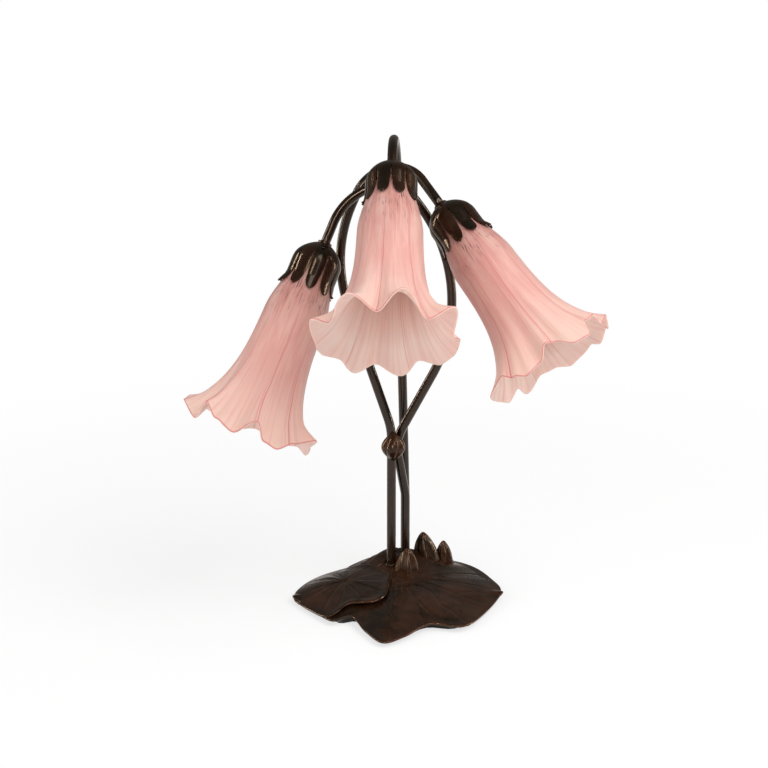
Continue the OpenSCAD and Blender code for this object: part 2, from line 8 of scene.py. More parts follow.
import bmesh
import bpy
import numpy as np
from bpy.props import FloatProperty, FloatVectorProperty, IntProperty, PointerProperty
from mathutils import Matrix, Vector


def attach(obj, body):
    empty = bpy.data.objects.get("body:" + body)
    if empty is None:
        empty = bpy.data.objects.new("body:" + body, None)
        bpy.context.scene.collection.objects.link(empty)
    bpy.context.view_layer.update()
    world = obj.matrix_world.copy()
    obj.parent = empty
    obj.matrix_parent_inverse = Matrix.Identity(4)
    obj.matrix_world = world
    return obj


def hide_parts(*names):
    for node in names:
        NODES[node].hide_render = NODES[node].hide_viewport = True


bl_info = {
    "name": "Pond-lily table lamp",
    "version": (1, 0, 0),
    "blender": (4, 5, 0),
    "location": "3D View > Sidebar > Pond lily",
    "description": "Glass flower shades, calyx caps, bent stems and a lily-pad base round a packed lamp",
    "category": "Object",
}

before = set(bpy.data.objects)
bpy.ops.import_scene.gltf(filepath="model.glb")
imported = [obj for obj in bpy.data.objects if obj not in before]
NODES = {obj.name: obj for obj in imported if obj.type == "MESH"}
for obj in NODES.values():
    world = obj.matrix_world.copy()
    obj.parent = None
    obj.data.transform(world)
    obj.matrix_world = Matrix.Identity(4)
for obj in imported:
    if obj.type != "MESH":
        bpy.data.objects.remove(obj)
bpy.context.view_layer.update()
MM = 0.001
TAU = 2 * math.pi
WHITE = (1.0, 1.0, 1.0)

# ---- places shared with the solid part

# Each light: end of its stem, tilt away from straight down, compass angle
LIGHTS = {
    "centre": ((-4.5, 6, 383), 45, -92),
    "left": ((-61, 28, 313), 33, -132),
    "right": ((37, 24, 346), 50, -47),
}
# Caps: turn of the first petal, turn of the vent, distance of the vent from the axis
CAP_TURNS = {"centre": 16.5, "left": 24, "right": 24}
VENT_TURNS = {"centre": 0, "left": 134, "right": 0}
VENT_OUT = 16.0
# Petals whose tips differ from the rest: millimetres outward, millimetres onward
PETAL_ENDS = {
    "centre": {1: (-1.0, -3.0), 2: (-1.6, -5.0), 3: (-0.8, -0.8), 4: (0.0, -1.6), 5: (0.0, -2.0),
               6: (-0.6, -0.5), 7: (-1.6, -5.0), 8: (-1.0, -3.0)},
    "left": {0: (-1.0, -3.0), 1: (-1.0, -3.0), 5: (2.2, 1.0), 6: (-1.0, -3.0)},
    "right": {3: (-1.0, -3.5), 4: (2.8, 1.2), 5: (1.7, 0.6), 6: (0.0, 1.8), 8: (-0.6, -1.0)},
}
# The glass starts this far below a light's end, and the socket passes this hole in it
GLASS_TOP, HOLE_R = 11.5, 11.5
FERRULE_HOLE_R = 5.1
# Stems: foot X and Y, height of the lower end and of the hub's seat, then corners with bend radii
FEET = {"centre": (8, 76), "left": (8, 62), "right": (-4.5, 51.5)}
STEM_END_Z = 7.0
SEAT_Z = 19.0
CORNERS = {
    "centre": ((8, 76, 80, 200),),
    "left": ((8, 62, 82, 40), (-1, 58.5, 133, 39), (73, 52, 272.5, 141), (2.5, 46, 365, 27)),
    "right": ((-4.5, 51.5, 146, 60), (-57, 54, 301, 121), (-30.5, 56, 360, 37)),
}
# Straight reach to the light's end from the last corner, and that corner's bend radius
END_BENDS = {"centre": (8 + 38 * math.tan(math.radians(67.5)), 38), "left": (48.8, 52), "right": (64.5, 32)}
TUBE_WALL = 0.8
STEM_BUD_AT = (-2.8, 46.5, 131)
# Base: middle, thickness of the felt, shares of the way to the rim where the casting stands on it, and the
# rim's X, Y and height
PAD_MIDDLE = np.array((0.0, 24.0))
FELT = 1.6
FOOT_RING = (0.893, 0.845)
PAD_RIM = (
    (-89, 8, 5), (-73, -19, 4.5), (-56, -45, 5), (-39, -42, 7.5), (-27, -68, 5), (-12, -91, 4.5),
    (7, -78, 5), (28, -57, 7), (55, -59, 5.5), (74, -31, 5), (92, 17, 6), (85, 50, 6),
    (70, 80, 6), (46, 98, 6), (14, 104, 6), (-16, 96, 6), (-42, 78, 6), (-68, 56, 6), (-84, 32, 5.5),
)

# How each lip is curled: compass angle round the light, millimetres outward, millimetres onward
LIP_CURLS = {
    "centre": (
        (11, 5, 1), (33, -6, -3), (50, 5, 1), (66, 7, 0), (85, 6, -2), (102, 3, 4), (124, 13, -7),
        (142, 1, 6), (167, 13, -7), (188, -4, 3), (207, 12, -6.5), (236, 2, 3), (253, 11, -6),
        (276, 6, 1), (301, 11, -5), (312, 1, -2), (330, 6, 2), (347, -6, -3)),
    "left": (
        (10, 2, -4), (40, 2, 3), (60, 4, -1), (77, 13, -6), (86, 0, 3), (101, -4, 13), (117, -2, 12),
        (131, 1, 0), (150, -5, 14), (172, -3, 8), (184, 3, -2), (200, -1, 12), (225, 8, -1),
        (245, 8, -9), (272, 0, -5), (297, 4, 1), (322, 4, -8), (345, -4, 0)),
    "right": (
        (8, 0, -2), (29, -8, -9), (45, -8, -8), (62, 1, -4), (76, 2, -5), (88, 2, -6), (98, 3, 0),
        (115, 6, -5), (128, 1, 2), (140, 4, -4), (151, -1, 2), (168, 1, -2), (180, -1, 1),
        (192, 3, 16), (207, 3, 17), (218, -6, 5), (228, -4, 2), (243, -6, 11), (257, 2, 15),
        (268, 3, 8), (280, 4, -1), (308, 9, 0), (335, 2, 3), (351, -7, -5)),
}
# Compass angles of the thin ribs
RIB_TURNS = {
    "centre": (20, 66, 105, 142, 188, 232, 276, 318),
    "left": (10, 52, 90, 131, 184, 222, 266, 318),
    "right": (20, 60, 98, 142, 180, 223, 272, 325),
}

# ---- fineness, camera and lamps

SHADE_SIDES, SHADE_ROWS = 240, 72
PETAL_COLUMNS = 17
STEM_SIDES = 32
BUD_SIDES, BUD_ROWS = 120, 44
# The rest is in metres. Lamps: place and size
AIM = Vector((0.0, 0.0, 0.2))
CAMERA_SIDE = -0.011
FLOOR_HALF = 6
KEY = ((0.75, -0.7, 1.35), (1.1, 1.1))
FILL = ((-1.2, -0.9, 0.7), (1.0, 1.0))
STRIPS = (("right_strip", (1.3, 0.3, 0.5)), ("left_strip", (-1.25, 0.4, 0.5)),
          ("front_strip", (-0.25, -1.3, 0.9)))
STRIP_SIZE = (0.07, 1.2)
STRIP_COLOUR = (1.0, 0.86, 0.68)


# ---- small helpers

def ease(x):
    t = np.clip(x, 0.0, 1.0)
    return t * t * (3 - 2 * t)


def late(x, start):
    """0 up to a start, then evenly up to 1."""
    return np.clip((x - start) / (1 - start), 0, 1)


def light_axes(light):
    """End point and the three axes of a light, the third one pointing down to the lip."""
    end, tilt, turn = LIGHTS[light]
    t, f = math.radians(tilt), math.radians(turn)
    x = np.array((-math.cos(t) * math.cos(f), -math.cos(t) * math.sin(f), -math.sin(t)))
    y = np.array((-math.sin(f), math.cos(f), 0.0))
    z = np.array((math.sin(t) * math.cos(f), math.sin(t) * math.sin(f), -math.cos(t)))
    return np.array(end, float), x, y, z


def at_light(light, points):
    """Points drawn along a light's axis, moved to their place on the lamp."""
    end, x, y, z = light_axes(light)
    points = np.asarray(points, float)
    return end + points[:, :1] * x + points[:, 1:2] * y + points[:, 2:3] * z


def grid_faces(rows, columns, start=0, closed=True):
    """Four-sided faces between rows of points."""
    faces = []
    for i in range(rows - 1):
        for j in range(columns if closed else columns - 1):
            a = start + i * columns + j
            b = start + i * columns + (j + 1) % columns
            faces.append((a, b, b + columns, a + columns))
    return faces


def band(a, b, columns):
    """Faces between two rings that start at points a and b."""
    return [(a + j, a + (j + 1) % columns, b + (j + 1) % columns, b + j) for j in range(columns)]


def fan(start, columns, tip):
    """Faces from a ring to one point."""
    return [(start + j, start + (j + 1) % columns, tip) for j in range(columns)]


def capped_faces(rows, columns):
    """Faces of rings that close to a point at each end. The two points come after the rings."""
    tip = rows * columns
    return grid_faces(rows, columns) + fan(0, columns, tip) + fan(tip - columns, columns, tip + 1)


def circle(sides, radius, height, middle=(0.0, 0.0)):
    """A level ring of points."""
    turns = np.arange(sides) * TAU / sides
    return np.stack((middle[0] + radius * np.cos(turns), middle[1] + radius * np.sin(turns),
                     np.full(sides, float(height))), axis=1)


def make_piece(name, points, faces, finish, body, stands_for=(), marks=None):
    """A mesh piece that rides on a body. marks holds named numbers or vectors for each point."""
    mesh = bpy.data.meshes.new(name)
    mesh.from_pydata((np.asarray(points, float) * MM).tolist(), [], faces)
    for mark, values in (marks or {}).items():
        values = np.asarray(values, np.float32)
        kind, key = ("FLOAT", "value") if values.ndim == 1 else ("FLOAT_VECTOR", "vector")
        mesh.attributes.new(mark, kind, "POINT").data.foreach_set(key, values.ravel())
    mesh.materials.append(finish_of(finish))
    work = bmesh.new()
    work.from_mesh(mesh)
    bmesh.ops.recalc_face_normals(work, faces=work.faces)
    work.to_mesh(mesh)
    work.free()
    mesh.polygons.foreach_set("use_smooth", [True] * len(mesh.polygons))
    piece = bpy.data.objects.new(name, mesh)
    bpy.context.scene.collection.objects.link(piece)
    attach(piece, body)
    if stands_for:
        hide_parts(*stands_for)
    return piece


def wander(values, seed):
    """A smooth repeatable wobble of about -1 to 1 over an array."""
    total = np.zeros_like(values, dtype=float)
    for k, (pitch, share) in enumerate(((1.0, 0.55), (2.3, 0.3), (5.1, 0.15))):
        total += share * np.sin(values * pitch + seed * 1.7 + k * 2.1)
    return total


# ---- shader sheets

class Value:
    """A socket that takes part in sums: each operator adds a Math node."""

    def __init__(self, sheet, socket):
        self.sheet = sheet
        self.socket = socket

    def maths(self, operation, *terms):
        return self.sheet.node("ShaderNodeMath", {"operation": operation}, dict(enumerate(terms)))

    def __add__(self, other):
        return self.maths("ADD", self, other)

    def __sub__(self, other):
        return self.maths("SUBTRACT", self, other)

    def __rsub__(self, other):
        return self.maths("SUBTRACT", other, self)

    def __mul__(self, other):
        return self.maths("MULTIPLY", self, other)

    def __abs__(self):
        return self.maths("ABSOLUTE", self)


class Sheet:
    """A material, or the world, under construction."""

    def __init__(self, owner):
        self.owner = owner
        owner.use_nodes = True
        self.tree = owner.node_tree
        self.tree.nodes.clear()

    def node(self, kind, settings=None, inputs=None, output=0):
        """Adds a node: settings first, then the numbers or links of its sockets. Returns one output."""
        made = self.tree.nodes.new(kind)
        for key, value in (settings or {}).items():
            setattr(made, key, value)
        for key, value in (inputs or {}).items():
            socket = made.inputs[key]
            if isinstance(value, Value):
                self.tree.links.new(value.socket, socket)
            elif socket.type == "RGBA":
                socket.default_value = (*value[:3], 1.0)
            else:
                socket.default_value = value
        return Value(self, made.outputs[output])

    def mark(self, name, output="Fac"):
        return self.node("ShaderNodeAttribute", {"attribute_name": name}, output=output)

    def mix(self, share, a, b):
        """A colour between a and b."""
        return self.node("ShaderNodeMix", {"data_type": "RGBA", "blend_type": "MIX", "clamp_factor": True},
                         {0: share, 6: a, 7: b}, output=2)

    def layers(self, colour, *laid):
        """Colours laid over the first one, each by its share."""
        for share, over in laid:
            colour = self.mix(share, colour, over)
        return colour

    def step(self, value, low, high):
        """0 below low, 1 above high, smooth between them."""
        return self.node("ShaderNodeMapRange", {"interpolation_type": "SMOOTHSTEP"},
                         {0: value, 1: low, 2: high, 3: 0.0, 4: 1.0})

    def noise(self, place, scale, detail, rough):
        return self.node("ShaderNodeTexNoise", {}, {"Vector": place, "Scale": scale, "Detail": detail,
                                                    "Roughness": rough})

    def stretched(self, place, amounts):
        return self.node("ShaderNodeVectorMath", {"operation": "MULTIPLY"}, {0: place, 1: amounts})

    def place(self):
        return self.node("ShaderNodeTexCoord", output="Object")

    def parts(self, vector):
        made = self.node("ShaderNodeSeparateXYZ", {}, {0: vector})
        outputs = made.socket.node.outputs
        return [Value(self, outputs[i]) for i in range(3)]

    def bump(self, height, distance, strength):
        return self.node("ShaderNodeBump", {}, {"Height": height, "Distance": distance, "Strength": strength})

    def surface(self, **inputs):
        """The Principled shader. Names use underscores for spaces."""
        return self.node("ShaderNodeBsdfPrincipled", {},
                         {key.replace("_", " "): value for key, value in inputs.items()})

    def done(self, shader, kind="ShaderNodeOutputMaterial"):
        output = self.tree.nodes.new(kind)
        self.tree.links.new(shader.socket, output.inputs["Surface"])
        return self.owner


def sheet(name):
    return Sheet(bpy.data.materials.new(name))


def frosted_glass(name):
    """Frosted art glass: pink outside, darker toward the cap, partly from the deeper colour of the glass there
    and partly as painted shade under the cap. It has fine streaks, thin deeper ribs and grey flecks under the
    cap, a paler lining, and a bright thin edge at the lip. Marks: flow (round the light and along it), ribs and
    lining."""
    look = bpy.context.scene.lamp_finish
    s = sheet(name)
    flow = s.mark("flow", "Vector")
    ribs = s.mark("ribs", "Vector")
    lining = s.mark("lining")
    along = s.parts(flow)[2]
    streaks = s.noise(s.stretched(flow, (16.0, 16.0, 2.2)), 1.0, 4.0, 0.6)
    fine = s.noise(s.stretched(flow, (55.0, 55.0, 5.0)), 1.0, 2.0, 0.5)
    clouds = s.noise(s.stretched(flow, (1.6, 1.6, 3.0)), 1.0, 3.0, 0.55)
    # Darker toward the cap: partly the deeper colour of the glass there, partly painted shade that falls under
    # the cap
    outer = s.mix(s.step(along, 0.02, 0.62), look.glass_near_cap, look.glass_body)
    outer = s.layers(
        outer, (s.step(along, 0.55, 1.0) * 0.7, look.glass_pale),
        (s.step(clouds, 0.42, 0.66) * 0.35, look.glass_pale),
        (s.step(streaks, 0.48, 0.7) * 0.4, look.glass_deep), (s.step(fine, 0.5, 0.7) * 0.3, look.glass_pale))
    sine, cosine, _ = s.parts(ribs)
    turn = sine.maths("ARCTAN2", sine, cosine)
    drift = s.noise(s.stretched(flow, (2.5, 2.5, 4.0)), 1.0, 1.0, 0.5) - 0.5
    line = 1 - s.step(abs(turn + drift * 0.9), 0.025, 0.095)
    halo = 1 - s.step(abs(turn + drift * 0.9), 0.05, 0.4)
    twin = 1 - s.step(abs(turn + drift * 1.5 - 0.36), 0.02, 0.08)
    shown = s.step(along, 0.12, 0.34)
    flecks = s.noise(s.stretched(flow, (26.0, 26.0, 12.0)), 1.0, 3.0, 0.6)
    sparse = s.noise(s.stretched(flow, (4.0, 4.0, 9.0)), 1.0, 1.0, 0.5)
    near_cap = s.step(along, 0.08, 0.14) * (1 - s.step(along, 0.22, 0.5))
    marks = s.step(flecks, 0.54, 0.64) * s.step(sparse, 0.4, 0.56)
    outer = s.layers(
        outer, (halo * shown * 0.2, look.glass_deep), (line * shown * 0.8, look.glass_rib),
        (twin * shown * 0.4, look.glass_rib), (marks * near_cap * 0.85, look.glass_fleck))
    inner = s.layers(
        look.glass_lining, (s.step(streaks, 0.4, 0.7) * 0.35, look.glass_body), (line * 0.45, look.glass_rib),
        (s.step(along, 0.9, 1.0) * 0.3, look.glass_body))
    rim = s.step(lining, 0.05, 0.3) * (1 - s.step(lining, 0.45, 0.65))
    edge = s.step(lining, 0.5, 0.68) * (1 - s.step(lining, 0.8, 0.98))
    colour = s.layers(
        outer, (s.step(lining, 0.55, 0.9), inner), (rim * 0.8, look.glass_rib), (edge * 0.6, look.glass_edge))
    relief = s.bump(streaks + fine * 0.4 - line * 0.6, 0.0004, 0.5)
    return s.done(s.surface(
        Base_Color=colour, Roughness=s.step(fine, 0.2, 0.9) * 0.16 + 0.42, Normal=relief,
        Specular_IOR_Level=0.3, Subsurface_Weight=look.glass_glow, Subsurface_Scale=0.006,
        Subsurface_Radius=(1.0, 0.55, 0.45)))


def dark_bronze(name, roughness, lacquer, deep=0.0, depth=0.00006, worn=True, casting=False, tinted=False):
    """Mahogany bronze: brown-black with cloudy wear and reddish brown on the worn high places.
    Marks: wear, and tint, which turns a petal from olive black to reddish brown."""
    look = bpy.context.scene.lamp_finish
    s = sheet(name)
    place = s.place()
    clouds = s.noise(place, 38.0, 4.0, 0.6)
    smears = s.noise(s.stretched(place, (1.0, 1.0, 0.35)), 160.0, 4.0, 0.6)
    speck = s.noise(place, 900.0, 2.0, 0.5)
    colour = s.mix(s.step(clouds, 0.35, 0.7), look.bronze_dark, look.bronze_brown)
    colour = s.mix(s.step(smears, 0.5, 0.8) * 0.5, colour, look.bronze_grey)
    if tinted:
        petal = s.step(s.mark("tint") + (clouds - 0.5) * 0.8, 0.2, 0.8)
        colour = s.mix(0.6, colour, s.mix(petal, look.bronze_olive, look.bronze_brown))
    colour = s.mix(deep, colour, look.bronze_dark)
    height = speck + smears * 0.5
    rough = s.step(smears, 0.3, 0.75) * 0.14 + (roughness - 0.04)
    if worn:
        wear = s.mark("wear")
        broken = s.step(wear + (s.noise(place, 240.0, 4.0, 0.65) - 0.5) * 0.55, 0.35, 0.8)
        colour = s.mix(broken * 0.85, colour, look.bronze_red)
        bright = s.step(wear + (s.noise(place, 420.0, 3.0, 0.6) - 0.5) * 0.5, 0.85, 1.15)
        colour = s.mix(bright * 0.55, colour, look.bronze_bright)
        rough = rough + broken * 0.06
    if casting:
        pits = s.noise(place, 620.0, 3.0, 0.6)
        height = height * 0.6 + pits
    return s.done(s.surface(Base_Color=colour, Metallic=0.3, Roughness=rough,
                            Normal=s.bump(height, depth, 0.6), Specular_IOR_Level=0.3,
                            Specular_Tint=look.bronze_sheen, Coat_Weight=lacquer, Coat_Roughness=0.12))


def machined(name, colour, shade, metallic, roughness, scale, depth, along=(1.0, 1.0, 1.0)):
    """A small part's finish: one colour with fine tool marks and a little staining."""
    s = sheet(name)
    place = s.place()
    marks = s.noise(s.stretched(place, along), scale, 3.0, 0.6)
    stain = s.noise(place, 110.0, 3.0, 0.6)
    paint = s.mix(s.step(stain, 0.35, 0.75), colour, shade)
    paint = s.mix(s.step(marks, 0.45, 0.7) * 0.3, paint, shade)
    return s.done(s.surface(Base_Color=paint, Metallic=metallic,
                            Roughness=s.step(marks, 0.3, 0.7) * 0.12 + roughness,
                            Normal=s.bump(marks, depth, 0.5)))


def felt_cloth(name):
    s = sheet(name)
    place = s.place()
    fibres = s.noise(s.stretched(place, (1.0, 1.0, 3.0)), 1600.0, 4.0, 0.7)
    tufts = s.noise(place, 300.0, 3.0, 0.6)
    paint = s.mix(s.step(fibres, 0.35, 0.7), (0.022, 0.035, 0.026), (0.06, 0.085, 0.066))
    paint = s.mix(s.step(tufts, 0.5, 0.75) * 0.4, paint, (0.09, 0.115, 0.095))
    return s.done(s.surface(Base_Color=paint, Roughness=0.95, Sheen_Weight=0.35, Sheen_Roughness=0.5,
                            Normal=s.bump(fibres + tufts * 0.5, 0.0003, 0.8)))


def frosted_bulb(name):
    s = sheet(name)
    place = s.place()
    frost = s.noise(place, 1300.0, 2.0, 0.5)
    paint = s.mix(s.step(frost, 0.3, 0.7), (0.86, 0.85, 0.82), (0.93, 0.92, 0.9))
    return s.done(s.surface(Base_Color=paint, Roughness=s.step(frost, 0.3, 0.7) * 0.12 + 0.32,
                            Subsurface_Weight=0.25, Subsurface_Scale=0.003, Subsurface_Radius=(1.0, 0.9, 0.8),
                            Normal=s.bump(frost, 0.00003, 0.5)))


BRONZES = {
    "bronze_sheet": {"roughness": 0.22, "lacquer": 0.22, "deep": 0.45, "tinted": True},
    "bronze_tube": {"roughness": 0.2, "lacquer": 0.6, "deep": 0.6, "depth": 0.00003},
    "bronze_cast": {"roughness": 0.3, "lacquer": 0.3, "casting": True},
    "bronze_ferrule": {"roughness": 0.3, "lacquer": 0.4, "deep": 0.75, "depth": 0.00003, "worn": False},
}
# Colour, its stain, metallic, roughness, scale and depth of the tool marks
MACHINED = {
    "turned_brass": ((0.47, 0.3, 0.1), (0.3, 0.18, 0.06), 1.0, 0.26, 700.0, 0.00003, (1.0, 1.0, 5.0)),
    "zinc_plate": ((0.42, 0.43, 0.45), (0.27, 0.28, 0.3), 1.0, 0.32, 700.0, 0.00003),
    "dull_solder": ((0.42, 0.42, 0.43), (0.24, 0.24, 0.25), 0.9, 0.48, 700.0, 0.00008),
    "dark_moulding": ((0.02, 0.018, 0.016), (0.035, 0.03, 0.027), 0.0, 0.34, 500.0, 0.00003),
    "matt_rubber": ((0.018, 0.018, 0.018), (0.032, 0.031, 0.03), 0.0, 0.7, 900.0, 0.00005),
    "lead_sheath": ((0.015, 0.015, 0.015), (0.03, 0.029, 0.028), 0.0, 0.5, 600.0, 0.00003),
    "pressed_fibre": ((0.2, 0.075, 0.04), (0.13, 0.05, 0.028), 0.0, 0.75, 1500.0, 0.0001),
    "plain_ceramic": ((0.6, 0.52, 0.38), (0.5, 0.42, 0.3), 0.0, 0.62, 900.0, 0.00008),
}
OTHERS = {"pink_frosted_glass": frosted_glass, "base_felt": felt_cloth, "frosted_bulb": frosted_bulb}
PART_FINISHES = {
    "felt_pad": "base_felt", "stem_washers": "zinc_plate", "stem_nuts": "turned_brass",
    "wire_connectors": "plain_ceramic", "cord_bushing": "matt_rubber", "ferrule": "bronze_ferrule",
    "cap_nut": "turned_brass", "socket_body": "dark_moulding", "socket_shell": "turned_brass",
    "socket_contact": "turned_brass", "gasket": "matt_rubber", "ring_washer": "pressed_fibre",
    "shade_ring": "dark_moulding", "bulb_tip": "dull_solder", "bulb_base": "turned_brass",
    "bulb_glass": "frosted_bulb", "lead": "lead_sheath",
}
FINISHES = {}


def finish_of(name):
    """Makes each finish once."""
    if name not in FINISHES:
        if name in BRONZES:
            FINISHES[name] = dark_bronze(name, **BRONZES[name])
        elif name in MACHINED:
            FINISHES[name] = machined(name, *MACHINED[name])
        else:
            FINISHES[name] = OTHERS[name](name)
    return FINISHES[name]


# ---- glass shades

RIBS = 8
FLUTE = 0.35
# A curl of this many millimetres outward rolls the lip back by the full share
ROLL_FULL, ROLL_SHARE = 8, 0.42
# Shares of the length where the lip's roll, its swing outward and its swing onward start
ROLL_FROM, SWING_FROM, DROP_FROM = 0.91, 0.5, 0.58
SWING_POWER = 2.2
# The glass gets thinner by this much from this share of its length on
LIP_THINNER, THIN_FROM = 1.1, 0.72


def curled(curls, turns):
    """How far the lip swings outward and onward at each compass angle, eased from curl to curl."""
    turns = np.asarray(turns) % 360
    ordered = sorted(curls)
    ordered = [(ordered[-1][0] - 360, *ordered[-1][1:])] + ordered + [(ordered[0][0] + 360, *ordered[0][1:])]
    out, onward = np.zeros_like(turns, dtype=float), np.zeros_like(turns, dtype=float)
    for (a0, o0, r0), (a1, o1, r1) in zip(ordered, ordered[1:]):
        inside = (turns >= a0) & (turns <= a1)
        t = ease((turns[inside] - a0) / (a1 - a0))
        out[inside] = o0 + (o1 - o0) * t
        onward[inside] = r0 + (r1 - r0) * t
    return out, onward


def shade_radius(u, glass):
    shoulder, waist, mouth = glass.shoulder_d * 500, glass.waist_d * 500, glass.mouth_d * 500
    return shoulder + (waist - shoulder) * ease((u - 0.04) / 0.32) + (mouth - waist) * u ** 5


def shade_rows(rows):
    """Outer face of a shade before the ruffles: share of its length at each row, denser near the lip."""
    t = np.linspace(0, 1, rows)
    return 0.015 + 0.985 * (0.3 * t + 0.7 * (1 - (1 - t) ** 1.7))


def build_shade(light, glass):
    length, wall, sides, rows = glass.length * 1000, glass.wall * 1000, SHADE_SIDES, SHADE_ROWS
    turns = np.arange(sides) * 360.0 / sides
    a = np.radians(turns)
    out, onward = curled(LIP_CURLS[light], turns)
    u = shade_rows(rows)[:, None]
    # An outward curl comes partly in the last stretch, so that the lip rolls back; an inward one is even
    rolled = np.clip(out / ROLL_FULL, 0, 1)[None, :] * ROLL_SHARE
    edge = late(u, ROLL_FROM) ** 1.4
    swing = (1 - rolled) * late(u, SWING_FROM) ** SWING_POWER + rolled * edge
    drop = (1 - rolled) * late(u, DROP_FROM) ** SWING_POWER + rolled * edge
    flute = FLUTE * ease((u - 0.1) / 0.5) * np.cos(RIBS * a + 0.6)[None, :]
    radius = shade_radius(u, glass) + swing * out[None, :] + flute
    height = GLASS_TOP + length * u + drop * onward[None, :]
    outer = np.stack((radius * np.cos(a), radius * np.sin(a), height), axis=2)
    # Inner face: the outer one moved in along its normal, thinner toward the lip
    du = np.gradient(outer, axis=0)
    da = (np.roll(outer, -1, axis=1) - np.roll(outer, 1, axis=1)) / 2
    normal = np.cross(da, du)
    normal /= np.linalg.norm(normal, axis=2, keepdims=True)
    thick = wall - LIP_THINNER * ease(late(u, THIN_FROM))
    inner = outer - normal * thick[:, :, None]
    # Round edge between the two faces
    tip_way = du[-1] / np.linalg.norm(du[-1], axis=1, keepdims=True)
    lip = []
    middle = (outer[-1] + inner[-1]) / 2
    half = (outer[-1] - inner[-1]) / 2
    reach = np.linalg.norm(half, axis=1, keepdims=True)
    for turn in (30, 60, 90, 120, 150):
        t = math.radians(turn)
        lip.append(middle + half * math.cos(t) + tip_way * reach * math.sin(t))
    # The shoulder closes over the top to the hole that the socket passes
    shoulder = glass.shoulder_d * 500
    top = [circle(sides, r, GLASS_TOP + z) for r, z in (
        (HOLE_R, 0.5), (HOLE_R + 0.4, 0), (shoulder - 2.4, 0), (shoulder - 1.2, 0.15), (shoulder - 0.35, 0.8))]
    under = [circle(sides, r, GLASS_TOP + wall + z) for r, z in (
        (shoulder - wall - 0.6, 1.4), (shoulder - wall - 2.2, 0), (HOLE_R + 0.4, 0), (HOLE_R, -0.5))]
    inner_rows = [inner[i] for i in range(rows - 1, 2, -1)]
    layers = top + [outer[i] for i in range(rows)] + lip + inner_rows + under
    points = np.concatenate(layers)
    count = len(layers)
    faces = grid_faces(count, sides) + band((count - 1) * sides, 0, sides)
    along = np.concatenate([np.zeros(len(top)), u[:, 0], np.ones(len(lip)),
                            u[rows - 1:2:-1, 0], np.zeros(len(under))])
    lined = np.concatenate([np.zeros(len(top)), np.zeros(rows - 2), [0.0, 0.2], [0.35, 0.5, 0.65, 0.7, 0.72],
                            [0.8], np.ones(len(inner_rows) - 1), np.ones(len(under))])
    cosine, sine = np.cos(a), np.sin(a)
    flow = np.stack((np.tile(cosine, count), np.tile(sine, count), np.repeat(along, sides)), axis=1)
    ribs = sorted(RIB_TURNS[light])
    steps = np.interp(turns, [ribs[-1] - 360, *ribs, ribs[0] + 360], range(-1, len(ribs) + 1)) * TAU
    marks = {"flow": flow,
             "ribs": np.stack((np.tile(np.sin(steps), count), np.tile(np.cos(steps), count),
                               np.repeat(along, sides)), axis=1),
             "lining": np.repeat(lined, sides)}
    return make_piece(light + "_flower_shade", at_light(light, points), faces,
                      "pink_frosted_glass", light + "_glass", [light + "_shade"], marks)


# ---- calyx caps

BELL_POWER = 2.4
CLEAR_OF_GLASS = 1.4
PETAL_BULGE = 0.45
# Half the width of a petal's blunt tip, and half the gap between petals at its top and its growth
TIP_HALF, GAP_TOP, GAP_GROWTH = 1.1, 0.2, 2.5
# The vent is in the dome; the mesh round it is cut finer
VENT_FINE, VENT_SNAP = 2.2, 1.7


def cap_radius(h, caps, glass):
    """Outside radius of a cap at a distance from its flat top: a bell, then upright along the glass."""
    dome, across, seat = caps.dome * 1000, caps.width * 500, caps.seat * 500
    bell = seat + (across - seat) * (1 - (1 - np.clip(h / dome, 0, 1)) ** BELL_POWER)
    u = (h - GLASS_TOP) / (glass.length * 1000)
    return np.where(u > 0, np.maximum(bell, shade_radius(u, glass) + CLEAR_OF_GLASS), bell)


def petal_points(light, petal, levels, across, caps, glass):
    """One petal of a cap with its share of the dome, row by row from the flat top to its blunt tip."""
    slot_top, length, wide = caps.slot_top * 1000, caps.length * 1000, math.pi / caps.petals
    centre = TAU * petal / caps.petals + math.radians(CAP_TURNS[light])
    outward, onward = PETAL_ENDS[light].get(petal, (0.15 * math.sin(petal * 2.3), 0.0))
    h = levels[:, None]
    c = across[None, :]
    x = np.clip((h - slot_top) / (length - slot_top), 0, 1)
    r = cap_radius(h, caps, glass)
    gap = np.where(h > slot_top, GAP_TOP + GAP_GROWTH * x ** 1.9, 0.0)
    blunt = np.clip((x - caps.tip_start) / (1 - caps.tip_start), 0, 1)
    half = TIP_HALF + (wide * r - gap - TIP_HALF) * np.sqrt(1 - blunt ** 2)
    bulge = PETAL_BULGE * ease((h - 8) / 9.0) * (1 - np.abs(c) ** 2.2)
    turn_out = ease((x - 0.62) / 0.38) * outward * (1 - 0.3 * c * c)
    turn = centre + np.where(h > slot_top, half / r, wide) * c
    r = r + bulge + turn_out
    down = h + onward * x ** 2 - 0.9 * blunt ** 2 * c * c
    return np.stack((r * np.cos(turn), r * np.sin(turn), down), axis=2).reshape(-1, 3)


